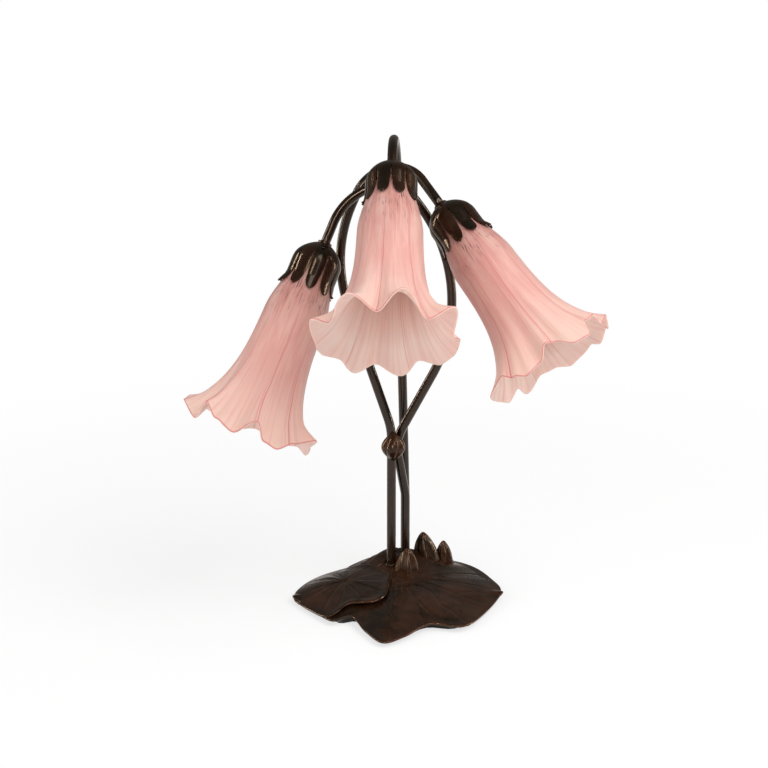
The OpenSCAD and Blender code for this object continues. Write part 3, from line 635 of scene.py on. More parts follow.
def build_cap(light, caps, glass):
    count, dome, length = caps.petals, caps.dome * 1000, caps.length * 1000
    side = dome + 0.5 + (length - dome - 0.5) * (1 - (1 - np.linspace(0, 1, 28)) ** 1.7)
    levels = np.concatenate([dome * np.linspace(0, 1, 16), side])
    columns = PETAL_COLUMNS
    across = np.linspace(-1, 1, columns)
    across = np.sin(np.linspace(-math.pi / 2, math.pi / 2, columns)) * 0.5 + across * 0.5
    in_petal = len(levels) * columns
    points = np.concatenate([petal_points(light, k, levels, across, caps, glass) for k in range(count)])
    faces = []
    for k in range(count):
        faces += grid_faces(len(levels), columns, k * in_petal, closed=False)
    tints = np.repeat([0.5 + 0.5 * math.sin(2.4 * k + len(light)) for k in range(count)], in_petal)
    mesh = bpy.data.meshes.new("cap_sheet")
    mesh.from_pydata(points.tolist(), [], faces)
    work = bmesh.new()
    work.from_mesh(mesh)
    bpy.data.meshes.remove(mesh)
    tinted = work.verts.layers.float.new("tint")
    for v, tint in zip(work.verts, tints):
        v[tinted] = tint
    bmesh.ops.remove_doubles(work, verts=work.verts, dist=0.02)
    # Flat top: draws the first ring in to the hole that the ferrule passes
    rim = [e for e in work.edges if e.is_boundary and all(v.co.z < 0.1 for v in e.verts)]
    drawn = bmesh.ops.extrude_edge_only(work, edges=rim)["geom"]
    for v in (g for g in drawn if isinstance(g, bmesh.types.BMVert)):
        v.co.xy = v.co.xy.normalized() * FERRULE_HOLE_R
    # Vent: the faces inside it go, and the points left round it move onto its edge
    vent, way = caps.vent * 500, math.radians(VENT_TURNS[light])
    vent_at = Vector((VENT_OUT * math.cos(way), VENT_OUT * math.sin(way)))

    def off_vent(place):
        return (place.xy - vent_at).length if place.z < dome * 0.8 else math.inf

    near = [f for f in work.faces if off_vent(f.calc_center_median()) < vent * VENT_FINE]
    edges = list(dict.fromkeys(e for f in near for e in f.edges))
    bmesh.ops.subdivide_edges(work, edges=edges, cuts=2, use_grid_fill=True)
    bmesh.ops.delete(work, geom=[f for f in work.faces if off_vent(f.calc_center_median()) < vent],
                     context="FACES")
    for v in work.verts:
        if v.is_boundary and off_vent(v.co) < vent * VENT_SNAP:
            v.co.xy = vent_at + (v.co.xy - vent_at).normalized() * vent
    bmesh.ops.recalc_face_normals(work, faces=work.faces)
    low = [f for f in work.faces if f.calc_center_median().z > dome]
    if sum(f.normal.xy.dot(f.calc_center_median().xy) for f in low) < 0:
        bmesh.ops.reverse_faces(work, faces=work.faces)
    work.verts.index_update()
    xyz = np.array([v.co for v in work.verts])
    tint = np.array([v[tinted] for v in work.verts])
    faces = [[v.index for v in f.verts] for f in work.faces]
    work.free()
    # The points and faces in an order that is the same in every run
    order = np.lexsort(np.round(xyz, 3).T)
    xyz, tint, moved = xyz[order], tint[order], np.argsort(order)
    faces = sorted(([int(moved[i]) for i in face] for face in faces), key=sorted)
    wear = 0.6 * ease((xyz[:, 2] - length + 4) / 5.0) + 0.3 * (1 - ease(xyz[:, 2] / 7.0))
    piece = make_piece(light + "_calyx_cap", at_light(light, xyz), faces, "bronze_sheet", "stand",
                       [light + "_cap"], {"wear": wear, "tint": tint})
    shell = piece.modifiers.new("sheet", "SOLIDIFY")
    shell.thickness = caps.wall
    shell.offset = -1.0
    rounder = piece.modifiers.new("rounder", "SUBSURF")
    rounder.levels = rounder.render_levels = 1
    return piece


# ---- stems

def stem_points(light, step=2.0):
    """Middle line of a stem: straight legs with round bends between them."""
    end, _, _, way = light_axes(light)
    reach, end_bend = END_BENDS[light]
    corners = CORNERS[light]
    route = [np.array((*FEET[light], STEM_END_Z))] + [np.array(c[:3], float) for c in corners]
    route += [end - way * reach, end]
    bends = [c[3] for c in corners] + [end_bend]
    line = [route[0]]
    for i, r in enumerate(bends, start=1):
        a = route[i] - route[i - 1]
        b = route[i + 1] - route[i]
        a, b = a / np.linalg.norm(a), b / np.linalg.norm(b)
        angle = math.acos(np.clip(a @ b, -1, 1))
        start = route[i] - a * r * math.tan(angle / 2)
        side = b - a * (a @ b)
        side /= np.linalg.norm(side)
        last = line[-1]
        gap = np.linalg.norm(start - last)
        line += [last + (start - last) * k / max(1, int(gap / 6)) for k in range(1, int(gap / 6) + 1)]
        steps = max(4, int(r * angle / step))
        for k in range(1, steps + 1):
            t = angle * k / steps
            line.append(start + a * r * math.sin(t) + side * r * (1 - math.cos(t)))
    gap = np.linalg.norm(route[-1] - line[-1])
    last = line[-1]
    line += [last + (route[-1] - last) * k / 4 for k in range(1, 5)]
    keep = [line[0]]
    for p in line[1:]:
        if np.linalg.norm(p - keep[-1]) > 0.3:
            keep.append(p)
    return np.array(keep)


def tube(line, radius, sides):
    """Rings of points round a line, turned as little as possible from one to the next."""
    ways = np.gradient(line, axis=0)
    ways /= np.linalg.norm(ways, axis=1, keepdims=True)
    x = np.cross(ways[0], (0.0, 1.0, 0.0))
    x /= np.linalg.norm(x)
    turns = np.arange(sides) * TAU / sides
    rings = []
    for p, way in zip(line, ways):
        x = x - way * (x @ way)
        x /= np.linalg.norm(x)
        y = np.cross(way, x)
        rings.append(p + radius * (np.cos(turns)[:, None] * x + np.sin(turns)[:, None] * y))
    return rings


def build_stem(light, stems):
    line = stem_points(light)
    radius, sides = stems.width * 500, STEM_SIDES
    rings = tube(line, radius, sides) + tube(line, radius - TUBE_WALL, sides)[::-1]
    faces = grid_faces(len(rings), sides) + band((len(rings) - 1) * sides, 0, sides)
    points = np.concatenate(rings)
    # Stop collar brazed round the tube where it stands on the hub
    start = len(points)
    shape = ((radius - 0.4, 0.0), (radius + 1.3, 0.0), (radius + 1.5, 0.25), (radius + 1.5, 1.5),
             (radius + 1.2, 1.85), (radius + 0.5, 2.0), (radius + 0.12, 2.4), (radius - 0.4, 2.6))
    collar = [circle(sides, r, SEAT_Z + z, FEET[light]) for r, z in shape]
    faces += grid_faces(len(collar), sides, start) + band(start + (len(collar) - 1) * sides, start, sides)
    points = np.concatenate([points] + collar)
    return make_piece(light + "_bent_stem", points, faces, "bronze_tube", "stand",
                      ["stem_" + light], {"wear": np.full(len(points), 0.12)})


PLEAT_DEPTH = 0.24
BELOW_PAD = 3.0
STEM_BUD_DEEP, STEM_BUD_RIBS, STEM_BUD_ROWS, STEM_BUD_TWIST = 11.0, 5, 48, 34


def ribbed_bud(at, radius, height, lean, ribs, turn):
    """Rings of a pleated bud that stands on its foot, from the tip down, with its wear."""
    sides = BUD_SIDES
    f = np.linspace(0.0, 1.0, BUD_ROWS)[1:] ** 1.15
    a = np.arange(sides) * TAU / sides
    points, wear = [], []
    for level in f:
        # Uneven petals that lean round the bud, with a sharp groove where each one ends
        swirl = a + math.radians(turn) + 0.3 * np.sin(a + radius) + 0.35 * (1 - level)
        share = (swirl * ribs / TAU) % 1.0
        pleat = ease(share / 0.85) * (1 - ease((share - 0.9) / 0.1))
        side = (0.55 * level ** 0.5 + 0.45 * math.sin(math.pi / 2 * level ** 0.7)) * (1 - 0.06 * level ** 3)
        foot = 0.14 * max(level - 0.9, 0) / 0.1
        ridge = PLEAT_DEPTH * (pleat - 0.75) * min(1.0, level * 3.5) * (1 - 0.7 * max(level - 0.84, 0) / 0.16)
        r = radius * (side + foot) * (1 + ridge)
        tip = 0.02 * height * (1 - level) * np.cos(swirl * ribs)
        points.append(np.stack((at[0] + lean[0] * (1 - level) + r * np.cos(a),
                                at[1] + lean[1] * (1 - level) + r * np.sin(a),
                                at[2] + height * (1 - level) + tip), axis=1))
        wear.append(0.2 * pleat ** 4 + 0.75 * (1 - level) ** 4 + 0.4 * ease((level - 0.86) / 0.14))
    points = np.concatenate(points)
    tip = np.array([[at[0] + lean[0], at[1] + lean[1], at[2] + height]])
    foot = np.array([[at[0], at[1], at[2] - BELOW_PAD]])
    return np.concatenate([points, tip, foot]), capped_faces(len(f), sides), np.concatenate([*wear, [0.7, 0.3]])


def build_stem_bud(stems):
    """The long ribbed bud in front of the two side stems."""
    at, wide, length = STEM_BUD_AT, stems.bud_width * 500, stems.bud_length * 1000
    sides, rows = BUD_SIDES, STEM_BUD_ROWS
    f = np.linspace(0, 1, rows + 2)[1:-1]
    a = np.arange(sides) * TAU / sides
    points, wear = [], []
    for level in f:
        swirl = a + math.radians(97) + math.radians(STEM_BUD_TWIST) * (level - 0.5)
        pleat = np.abs(np.cos(swirl * STEM_BUD_RIBS / 2))
        side = math.sin(math.pi * level) ** 0.85
        d = side * (1 + 0.2 * (pleat ** 0.6 - 0.75) * min(1.0, math.sin(math.pi * level) * 1.6))
        points.append(np.stack((at[0] + wide * d * np.cos(a), at[1] + STEM_BUD_DEEP * d * np.sin(a),
                                np.full(sides, at[2] + length * (0.5 - level))), axis=1))
        wear.append(0.08 + 0.3 * pleat ** 4)
    points = np.concatenate(points)
    ends = np.array([[at[0], at[1], at[2] + length / 2], [at[0], at[1], at[2] - length / 2]])
    return make_piece("ribbed_stem_bud", np.concatenate([points, ends]), capped_faces(rows, sides),
                      "bronze_cast", "stand", ["stem_bud"],
                      {"wear": np.concatenate([*wear, [0.4, 0.4]])})


# ---- lily-pad base

def smooth_line(points, steps, closed=True):
    """A smooth line through points, closed or open."""
    p = np.asarray(points, float)
    n = len(p)
    rows = []
    for i in range(n if closed else n - 1):
        a, b, c, d = (p[k % n if closed else min(max(k, 0), n - 1)] for k in range(i - 1, i + 3))
        for s in range(steps):
            t = s / steps
            rows.append(0.5 * (2 * b + (c - a) * t + (2 * a - 5 * b + 4 * c - d) * t * t
                               + (3 * b - a - 3 * c + d) * t ** 3))
    return np.array(rows if closed else [*rows, p[-1]])


def toward(middle, outline, share):
    """Places at a share of the way from a pad's middle to its outline."""
    return middle[0] + share * (outline[:, 0] - middle[0]), middle[1] + share * (outline[:, 1] - middle[1])


RIM = smooth_line(PAD_RIM, 24)
RIM_TURN = np.arctan2(RIM[:, 1] - PAD_MIDDLE[1], RIM[:, 0] - PAD_MIDDLE[0])
RIM_REACH = np.linalg.norm(RIM[:, :2] - PAD_MIDDLE, axis=1)
RIM_ORDER = np.argsort(RIM_TURN)
# The hub: middle, half widths, rise over the pad and highest level
HUB, HUB_R, HUB_RISE, HUB_Z = np.array((2.0, 74.0)), np.array((30.0, 22.0)), 15.0, 25.0

# Pointed places of the rim, and how far each turns up
TIPS = (((92, 12), 2.2), ((-89, 6), 1.6))

# Grooves of the pads: points X, Y along each, from the pad's centre outward
FRONT_CENTRE = np.array((3.0, 15.0))
FRONT_VEINS = (
    ((6, 10), (12, -2), (17, -30), (24, -62)),
    ((7, 12), (16, 10), (29, -2), (37, -26), (40, -52)),
    ((38, -27), (48, -38), (60, -54)),
    ((10, 15), (26, 14), (44, 2), (55, -5), (74, -12)),
    ((52, -3), (62, 4), (78, 8)),
    ((10, 18), (28, 22), (54, 21), (80, 20)),
    ((3, 8), (-4, -16), (-6, -38), (-2, -54)),
    ((14, -12), (24, -34), (34, -48)),
    ((12, 20), (34, 36), (58, 48), (74, 54)),
)
LEFT_CENTRE = np.array((-46.0, 18.0))
LEFT_VEINS = (
    ((-47, 18), (-59, 12), (-74, 2), (-84, -2)),
    ((-45, 19), (-36, 32), (-24, 46)),
    ((-44, 18), (-32, 8), (-20, -4), (-13, -10)),
    ((-48, 16), (-56, -4), (-62, -24)),
    ((-46, 14), (-46, -6), (-49, -26)),
    ((-44, 14), (-36, -4), (-30, -20)),
    ((-48, 20), (-60, 30), (-72, 36)),
    ((-47, 20), (-50, 34), (-54, 46)),
)


VEIN_WIDTH, VEIN_DEPTH = 1.15, 0.75
WAVE, DIMPLE, DIMPLE_R, TURN_UP = 0.45, 1.6, 6.0, 0.9
TIP_OUT, TIP_NEAR = 2.6, 4.5
LAID_VEIN_WIDTH, LAID_VEIN_DEPTH, LAID_WAVE, LAID_DIMPLE, LAID_ROLL = 1.05, 0.7, 0.5, 1.5, 0.7


def groove(x, y, veins, width):
    """Depth share of the grooves at each place: 1 on a vein, 0 away from it, fading toward its end."""
    depth = np.zeros_like(x)
    for vein in veins:
        v = smooth_line(vein, 8, closed=False)
        for k in range(len(v) - 1):
            a, b = v[k], v[k + 1]
            d = b - a
            t = np.clip(((x - a[0]) * d[0] + (y - a[1]) * d[1]) / max(d @ d, 1e-9), 0, 1)
            off = np.hypot(x - a[0] - t * d[0], y - a[1] - t * d[1])
            fade = 1 - 0.55 * (k + t) / (len(v) - 1)
            depth = np.maximum(depth, fade * np.exp(-(off / width) ** 2))
    return depth


def body_top(x, y, base):
    """Height of the casting's top under the laid pads, and the share of the way to the rim."""
    turn = np.arctan2(y - PAD_MIDDLE[1], x - PAD_MIDDLE[0])
    reach = np.interp(turn, RIM_TURN[RIM_ORDER], RIM_REACH[RIM_ORDER], period=TAU)
    edge = np.interp(turn, RIM_TURN[RIM_ORDER], RIM[RIM_ORDER, 2], period=TAU)
    f = np.clip(np.hypot(x - PAD_MIDDLE[0], y - PAD_MIDDLE[1]) / reach, 0, 1)
    h = np.hypot((x - HUB[0]) / HUB_R[0], (y - HUB[1]) / HUB_R[1])
    crown = base.crown * 1000
    z = np.minimum(HUB_Z, edge + (crown - edge) * (1 - f ** 2.4) + HUB_RISE * np.exp(-h * h) * (1 - f ** 6))
    return z, f


def body_detail(x, y, f):
    """Grooves, soft waves between them and an upturned edge."""
    around = np.arctan2(y - FRONT_CENTRE[1], x - FRONT_CENTRE[0])
    away = np.hypot(x - FRONT_CENTRE[0], y - FRONT_CENTRE[1])
    veins = groove(x, y, FRONT_VEINS, VEIN_WIDTH)
    wave = WAVE * wander(around * 5.0, 1.0) * ease(away / 40) * (1 - ease((f - 0.9) / 0.1))
    dimple = -DIMPLE * np.exp(-(away / DIMPLE_R) ** 2)
    turn_up = TURN_UP * ease((f - 0.9) / 0.1)
    lumps = np.hypot(x / 24, (y - 80.0) / 17)
    rough = 0.7 * np.sin(x * 1.1 + 1.3 * np.sin(y * 0.9)) * np.sin(y * 1.3 + 0.8 * np.sin(x * 0.8))
    rough += 0.35 * np.sin(x * 2.7 + 1.1 * np.sin(y * 1.9)) * np.sin(y * 2.4 + 0.9 * np.sin(x * 2.1))
    return -VEIN_DEPTH * veins + wave + dimple + turn_up + rough * np.exp(-lumps ** 4), veins


def build_casting(base):
    """Front pad, hub and foot ring in one hollow casting."""
    wall, columns = base.wall * 1000, len(RIM)
    share = np.concatenate([[0.02], np.linspace(0.05, 0.9, 76), np.linspace(0.912, 0.985, 9)])
    rows, wear = [], []
    for f in share:
        x, y = toward(PAD_MIDDLE, RIM, f)
        z, ff = body_top(x, y, base)
        more, veins = body_detail(x, y, ff)
        rows.append(np.stack((x, y, z + more), axis=1))
        wear.append(0.35 * ease((f - 0.965) / 0.02) - 0.3 * veins)
    out = (RIM[:, :2] - PAD_MIDDLE) / RIM_REACH[:, None]
    for k, row in enumerate(rows):
        for tip, turn_up in TIPS:
            near = np.exp(-(np.linalg.norm(RIM[:, :2] - np.array(tip[:2]), axis=1) / TIP_NEAR) ** 2)
            pull = ease((share[k] - 0.86) / 0.13)
            row[:, :2] += out * (TIP_OUT * near * pull)[:, None]
            row[:, 2] += turn_up * near * pull
    top_edge = rows[-1]
    # Round rim, then the underside, the foot ring on the felt, and the hollow
    front = (0.35 + 0.65 * ease((20 - RIM[:, 1]) / 60)) * (0.2 + 0.8 * ease((RIM[:, 0] + 40) / 30))
    front *= 0.8 + 0.3 * wander(np.arange(columns) * 0.12, 5.0)
    for push, fall, worn in ((0.55, 0.12, 0.9), (0.95, 0.55, 0.95), (1.05, 1.05, 0.85), (0.8, 1.6, 0.6),
                             (0.2, 1.95, 0.3)):
        rows.append(np.column_stack((top_edge[:, :2] + out * push, top_edge[:, 2] - fall)))
        wear.append(worn * front)
    for f in (0.95, 0.915, 0.893, 0.845, 0.84, 0.7, 0.5, 0.3, 0.12):
        x, y = toward(PAD_MIDDLE, RIM, f)
        z, _ = body_top(x, y, base)
        under = np.maximum(np.minimum(z - wall, SEAT_Z - wall), FELT + 0.4)
        if f in FOOT_RING:
            under = np.full(columns, FELT)
        rows.append(np.stack((x, y, under), axis=1))
        wear.append(np.zeros(columns))
    z0, f0 = body_top(PAD_MIDDLE[:1], PAD_MIDDLE[1:], base)
    centre_top = [*PAD_MIDDLE, float(z0[0] + body_detail(PAD_MIDDLE[:1], PAD_MIDDLE[1:], f0)[0][0])]
    centre_under = [*PAD_MIDDLE, float(z0[0]) - wall]
    return make_piece("lily_pad_casting", np.concatenate([*rows, [centre_top, centre_under]]),
                      capped_faces(len(rows), columns), "bronze_cast", "stand",
                      ["base_casting"], {"wear": np.concatenate([*wear, [0.0, 0.0]])})


def laid_pad(name, centre, outline, veins, middle_lift, base, seed):
    """A pad that lies over the casting. Each outline point has X, Y and how far its edge stands clear."""
    edge = smooth_line(outline, 26)
    columns = len(edge)
    share = np.concatenate([[0.03], np.linspace(0.07, 0.9, 34), np.linspace(0.92, 0.97, 4)])
    raised = np.clip((edge[:, 2] - 0.5) / 2.0, 0, 1)
    rows, wear = [], []
    for s in share:
        x, y = toward(centre, edge, s)
        z, _ = body_top(x, y, base)
        lift = middle_lift + (edge[:, 2] - middle_lift) * s ** 2.2
        cut = groove(x, y, veins, LAID_VEIN_WIDTH)
        around = np.arctan2(y - centre[1], x - centre[0])
        wave = LAID_WAVE * wander(around * 4.0, seed) * math.sin(math.pi * min(s, 1.0))
        roll = LAID_ROLL * float(ease(np.array((s - 0.82) / 0.12)))
        dimple = -LAID_DIMPLE * math.exp(-(s / 0.09) ** 2)
        roll = roll * np.clip(edge[:, 2] / 3, 0, 1)
        rows.append(np.stack((x, y, z + lift - LAID_VEIN_DEPTH * cut + wave + roll + dimple), axis=1))
        wear.append(raised * (0.35 * float(ease(np.array((s - 0.955) / 0.015)))) - 0.3 * cut)
    out = edge[:, :2] - centre
    out /= np.linalg.norm(out, axis=1, keepdims=True)
    brim = rows[-1]
    for push, fall, worn in ((0.7, 0.15, 0.35), (1.25, 0.6, 0.5), (1.45, 1.2, 0.5), (1.2, 1.9, 0.2),
                             (0.5, 2.4, 0.0)):
        rows.append(np.column_stack((brim[:, :2] + out * push, brim[:, 2] - fall)))
        wear.append(worn * raised)
    for s, sink in ((0.93, 1.0), (0.5, 1.4)):
        x, y = toward(centre, edge, s)
        z, _ = body_top(x, y, base)
        rows.append(np.stack((x, y, z - sink), axis=1))
        wear.append(np.zeros(columns))
    z0, _ = body_top(centre[:1], centre[1:], base)
    ends = [[*centre, float(z0[0]) + middle_lift - LAID_DIMPLE], [*centre, float(z0[0]) - 1.4]]
    return make_piece(name, np.concatenate([*rows, ends]), capped_faces(len(rows), columns), "bronze_cast",
                      "stand", [], {"wear": np.concatenate([*wear, [0.0, 0.0]])})


LEFT_OUTLINE = (
    (-89.6, 7, 0.5), (-82.5, -8, 0.6), (-72.6, -23, 0.9), (-60, -40, 1.7), (-51, -39, 2.8), (-42, -30, 3.4),
    (-30, -28, 3.4), (-18, -29, 3.4), (-10, -20, 3.2), (-7, -4, 3.0), (-6, 12, 2.8), (-4, 26, 2.4),
    (-12, 40, 2.4), (-24, 52, 2.4), (-42, 60, 1.8), (-58, 58, 1.2), (-74, 46, 0.7), (-84.5, 27, 0.5))
BACK_CENTRE = np.array((-24.0, 64.0))
BACK_OUTLINE = (
    (-46, 50, 0.8), (-44, 62, 1.6), (-37, 72, 2.0), (-28, 80, 2.2), (-18, 84, 2.0), (-6, 82, 1.2),
    (0, 72, 0.6), (-6, 60, 0.8), (-16, 50, 1.0), (-32, 44, 0.8))
BACK_VEINS = (((-22, 64), (-30, 74)), ((-26, 64), (-40, 62)), ((-22, 66), (-16, 78)))

# Buds of the base: place, radius, height, lean, ribs, turn
BUDS = (
    ("front_bud", (8.5, 46, 13.5), 11.8, 23, (1.5, 0), 6, 12),
    ("tall_bud", (28, 76, 10.5), 12.8, 30.5, (-4, 0), 6, 30),
    ("small_bud", (44.5, 84, 8.5), 9.2, 21.5, (-1.5, 0), 5, 8),
)


def build_base(base):
    build_casting(base)
    laid_pad("left_lily_pad", LEFT_CENTRE, LEFT_OUTLINE, LEFT_VEINS, 2.6, base, 2.0)
    laid_pad("back_lily_pad", BACK_CENTRE, BACK_OUTLINE, BACK_VEINS, 1.4, base, 4.0)
    for name, *bud in BUDS:
        points, faces, wear = ribbed_bud(*bud)
        make_piece(name, points, faces, "bronze_cast", "stand", [], {"wear": wear})


# ---- sizes and colours

def millimetres(default, description, name, low, high):
    return number(default * MM, description, name, low * MM, high * MM, subtype="DISTANCE", unit="LENGTH",
                  precision=4)


def number(default, description, name, low, high, **more):
    return FloatProperty(name=name, description=description, default=default, min=low, max=high, **more)


def colour(default, description, name):
    return FloatVectorProperty(name=name, description=description, default=default, size=3, min=0.0, max=1.0,
                               subtype="COLOR")


class LampGlass(bpy.types.PropertyGroup):
    length: millimetres(154, "From the shoulder to the middle of the lip", "Length", 145, 165)
    shoulder_d: millimetres(35.2, "Diameter at the shoulder", "Shoulder", 34, 36)
    waist_d: millimetres(52.5, "Diameter along the waist", "Waist", 49, 54)
    mouth_d: millimetres(100, "Mean diameter of the lip", "Mouth", 90, 104)
    wall: millimetres(2.6, "Thickness of the glass", "Wall", 2, 2.8)


class LampCaps(bpy.types.PropertyGroup):
    petals: IntProperty(name="Petals", description="Petals round a cap", default=10, min=8, max=12)
    seat: millimetres(14, "Diameter of the flat seat at the top", "Seat", 12, 18)
    width: millimetres(41.8, "Diameter where the dome ends", "Width", 41, 46)
    length: millimetres(44, "From the flat top to the petal tips", "Length", 40, 47)
    dome: millimetres(19.5, "Depth of the dome", "Dome", 16, 20)
    slot_top: millimetres(13, "Distance from the top to the slots between petals", "Slot top", 11, 16)
    tip_start: number(0.7, "Share of a petal's length where its tip rounds off", "Tip start", 0.6, 0.95,
                      subtype="FACTOR")
    wall: millimetres(1.2, "Sheet thickness", "Sheet", 0.8, 1.4)
    vent: millimetres(2.5, "Diameter of the vent hole", "Vent", 1.5, 3.5)


class LampStems(bpy.types.PropertyGroup):
    width: millimetres(8, "Outside diameter of the tubes", "Tube", 7, 9)
    bud_width: millimetres(20.4, "Width of the bud on the stems", "Bud width", 18, 22)
    bud_length: millimetres(27, "Length of the bud on the stems", "Bud length", 24, 30)


class LampBase(bpy.types.PropertyGroup):
    crown: millimetres(17, "Height of the pads at their crown", "Crown", 15, 19)
    wall: millimetres(3.2, "Wall of the casting", "Wall", 2.8, 4)


class LampFinish(bpy.types.PropertyGroup):
    glass_body: colour((0.7, 0.36, 0.315), "Outside of the glass, lower half", "Glass body")
    # Partly the deeper colour of the glass near the cap, partly painted shade that falls under the cap
    glass_near_cap: colour((0.475, 0.2, 0.168), "Outside of the glass near the cap", "Glass near cap")
    glass_pale: colour((0.82, 0.6, 0.52), "Pale clouds and streaks", "Glass pale")
    glass_deep: colour((0.62, 0.25, 0.23), "Deep streaks", "Glass deep")
    glass_rib: colour((0.56, 0.16, 0.17), "Thin ribs and the line along the lip", "Glass rib")
    glass_fleck: colour((0.12, 0.05, 0.065), "Grey flecks under the cap", "Glass fleck")
    glass_lining: colour((0.94, 0.72, 0.655), "Inside of the glass", "Glass lining")
    glass_edge: colour((0.86, 0.55, 0.48), "Bright edge of the lip", "Glass edge")
    glass_glow: number(0.6, "How much light passes under the glass surface", "Glow", 0.0, 1.0, subtype="FACTOR")
    bronze_dark: colour((0.0085, 0.0036, 0.0014), "Darkest bronze", "Bronze dark")
    bronze_brown: colour((0.05, 0.019, 0.0085), "Brown of the bronze", "Bronze brown")
    bronze_grey: colour((0.056, 0.028, 0.013), "Greyish smears", "Bronze grey")
    bronze_olive: colour((0.009, 0.0085, 0.005), "Olive black of some petals", "Bronze olive")
    bronze_red: colour((0.06, 0.016, 0.0075), "Worn reddish brown", "Bronze red")
    bronze_sheen: colour((1.0, 0.72, 0.48), "Tint of the highlights", "Bronze sheen")
    bronze_bright: colour((0.16, 0.07, 0.042), "Brightest wear on rims", "Bronze bright")


class LampStage(bpy.types.PropertyGroup):
    distance: number(1.5, "From the camera to the lamp", "Camera distance", 0.5, 5.0, subtype="DISTANCE",
                     unit="LENGTH")
    height_angle: number(math.radians(15), "Angle above the horizon", "Camera height", 0.0, 1.5,
                         subtype="ANGLE")
    lens: number(83.81, "Focal length on a 36 mm film", "Lens", 20, 300)
    key: number(17.5, "Power of the large lamp", "Key lamp", 0, 500)
    fill: number(5.0, "Power of the lamp on the left", "Fill lamp", 0, 500)
    strips: number(11.0, "Power of the narrow lamps", "Strip lamps", 0, 100)
    sky: number(0.55, "Strength of the even light from all round", "Room light", 0, 2)
    mirror: number(0.16, "Strength of the room in reflections", "Mirrored room", 0, 2)


# ---- operators

class LAMP_OT_shades(bpy.types.Operator):
    """Blows the three flower shades"""
    bl_idname = "lamp.shades"
    bl_label = "Glass shades"

    def execute(self, context):
        for light in LIGHTS:
            build_shade(light, context.scene.lamp_glass)
        return {"FINISHED"}


class LAMP_OT_caps(bpy.types.Operator):
    """Spins the three petalled caps"""
    bl_idname = "lamp.caps"
    bl_label = "Calyx caps"

    def execute(self, context):
        for light in LIGHTS:
            build_cap(light, context.scene.lamp_caps, context.scene.lamp_glass)
        return {"FINISHED"}


class LAMP_OT_stems(bpy.types.Operator):
    """Bends the three stems and sets the ribbed bud on them"""
    bl_idname = "lamp.stems"
    bl_label = "Stems and bud"

    def execute(self, context):
        for light in LIGHTS:
            build_stem(light, context.scene.lamp_stems)
        build_stem_bud(context.scene.lamp_stems)
        return {"FINISHED"}


class LAMP_OT_base(bpy.types.Operator):
    """Casts the lily pads, the hub and its buds"""
    bl_idname = "lamp.base"
    bl_label = "Lily-pad base"

    def execute(self, context):
        build_base(context.scene.lamp_base)
        return {"FINISHED"}


class LAMP_OT_small_parts(bpy.types.Operator):
    """Gives the sockets, bulbs, rings, nuts and other small parts their finishes"""
    bl_idname = "lamp.small_parts"
    bl_label = "Small parts"

    def execute(self, context):
        for name, node in NODES.items():
            if node.hide_render:
                continue
            # A name is the light and the part, or the part and the light
            words = [word for word in name.split("_") if word not in LIGHTS]
            node.data.materials.clear()
            node.data.materials.append(finish_of(PART_FINISHES["_".join(words)]))
        return {"FINISHED"}


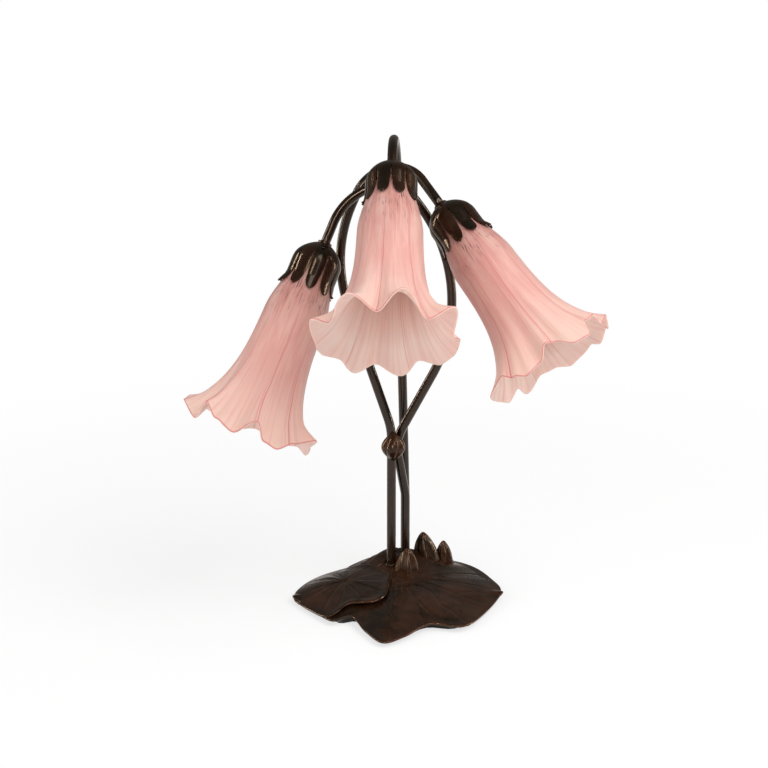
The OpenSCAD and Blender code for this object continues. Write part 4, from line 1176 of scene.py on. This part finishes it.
class LAMP_OT_stage(bpy.types.Operator):
    """Sets the floor, the lamps round the object and the camera"""
    bl_idname = "lamp.stage"
    bl_label = "Floor, lamps and camera"

    def execute(self, context):
        stage = context.scene.lamp_stage
        self.floor(context)
        self.room(context, stage.sky, stage.mirror)
        self.soft_lamp(context, "key_lamp", *KEY, stage.key)
        self.soft_lamp(context, "fill_lamp", *FILL, stage.fill)
        # The strips only draw the long highlights of the bronze
        for name, place in STRIPS:
            strip = self.soft_lamp(context, name, place, STRIP_SIZE, stage.strips)
            strip.visible_diffuse = False
            strip.data.color = STRIP_COLOUR
        film = bpy.data.cameras.new("photo_camera")
        film.lens = stage.lens
        film.sensor_width = 36.0
        film.clip_start, film.clip_end = 0.05, 50.0
        camera = bpy.data.objects.new("photo_camera", film)
        rise = stage.height_angle
        camera.location = (CAMERA_SIDE, -stage.distance * math.cos(rise),
                           AIM.z + stage.distance * math.sin(rise))
        camera.rotation_euler = (math.pi / 2 - rise, 0.0, 0.0)
        context.scene.collection.objects.link(camera)
        context.scene.camera = camera
        context.scene.view_settings.view_transform = "Standard"
        return {"FINISHED"}

    def soft_lamp(self, context, name, place, size, power):
        lamp = bpy.data.lights.new(name, "AREA")
        lamp.shape = "RECTANGLE"
        lamp.size, lamp.size_y = size
        lamp.energy = power
        holder = bpy.data.objects.new(name, lamp)
        holder.location = place
        holder.rotation_euler = (AIM - Vector(place)).to_track_quat("-Z", "Y").to_euler()
        context.scene.collection.objects.link(holder)
        return holder

    def rays(self, s):
        """Two shares: 1 for the camera and for light through glass, and 1 for reflections. Both are 0 for light
        that falls on the object."""
        path = s.node("ShaderNodeLightPath", output="Is Camera Ray")
        outputs = path.socket.node.outputs
        camera, glossy, through = (Value(s, outputs[n]) for n in
                                   ("Is Camera Ray", "Is Glossy Ray", "Is Transmission Ray"))
        return s.step(camera + through, 0.0, 1.0), glossy

    def floor(self, context):
        mesh = bpy.data.meshes.new("pale_floor")
        half = FLOOR_HALF
        mesh.from_pydata([(-half, -half, 0), (half, -half, 0), (half, half, 0), (-half, half, 0)], [],
                         [(0, 1, 2, 3)])
        floor = bpy.data.objects.new("pale_floor", mesh)
        context.scene.collection.objects.link(floor)
        s = sheet("pale_floor")
        white = s.node("ShaderNodeEmission", {}, {"Color": WHITE, "Strength": 1.0})
        dull = s.node("ShaderNodeBsdfDiffuse", {}, {"Color": (0.9, 0.9, 0.9), "Roughness": 0.5})
        away = s.node("ShaderNodeVectorMath", {"operation": "LENGTH"}, {0: s.place()}, output=1)
        seen, mirrored = self.rays(s)
        share = seen * (s.step(away, 0.25, 0.9) * 0.3 + 0.7) + mirrored * 0.3
        mesh.materials.append(s.done(s.node("ShaderNodeMixShader", {}, {0: share, 1: dull, 2: white})))

    def room(self, context, strength, mirror):
        context.scene.world = bpy.data.worlds.new("white_room")
        s = Sheet(context.scene.world)
        seen, mirrored = self.rays(s)
        light = seen * (1.0 - strength) + mirrored * (mirror - strength) + strength
        back = s.node("ShaderNodeBackground", {}, {"Color": WHITE, "Strength": light})
        s.done(back, "ShaderNodeOutputWorld")


class LAMP_PT_panel(bpy.types.Panel):
    """Lists the pieces of the lamp and their sizes"""
    bl_idname = "LAMP_PT_panel"
    bl_label = "Pond-lily lamp"
    bl_space_type = "VIEW_3D"
    bl_region_type = "UI"
    bl_category = "Pond lily"

    def draw(self, context):
        layout = self.layout
        for label, operator, group in (
                ("Glass", LAMP_OT_shades, "lamp_glass"), ("Caps", LAMP_OT_caps, "lamp_caps"),
                ("Stems", LAMP_OT_stems, "lamp_stems"), ("Base", LAMP_OT_base, "lamp_base"),
                ("Small parts", LAMP_OT_small_parts, "lamp_finish"), ("Stage", LAMP_OT_stage, "lamp_stage")):
            box = layout.box()
            box.label(text=label)
            settings = getattr(context.scene, group)
            for name in settings.__annotations__:
                box.prop(settings, name)
            box.operator(operator.bl_idname)


GROUPS = {"lamp_glass": LampGlass, "lamp_caps": LampCaps, "lamp_stems": LampStems, "lamp_base": LampBase,
          "lamp_finish": LampFinish, "lamp_stage": LampStage}
OPERATORS = (LAMP_OT_shades, LAMP_OT_caps, LAMP_OT_stems, LAMP_OT_base, LAMP_OT_small_parts, LAMP_OT_stage)


def register():
    for name, group in GROUPS.items():
        bpy.utils.register_class(group)
        setattr(bpy.types.Scene, name, PointerProperty(type=group))
    for operator in OPERATORS:
        bpy.utils.register_class(operator)
    bpy.utils.register_class(LAMP_PT_panel)


def unregister():
    bpy.utils.unregister_class(LAMP_PT_panel)
    for operator in reversed(OPERATORS):
        bpy.utils.unregister_class(operator)
    for name, group in GROUPS.items():
        delattr(bpy.types.Scene, name)
        bpy.utils.unregister_class(group)


def main():
    register()
    bpy.ops.lamp.shades()
    bpy.ops.lamp.caps()
    bpy.ops.lamp.stems()
    bpy.ops.lamp.base()
    bpy.ops.lamp.small_parts()
    bpy.ops.lamp.stage()


if __name__ == "__main__":
    main()
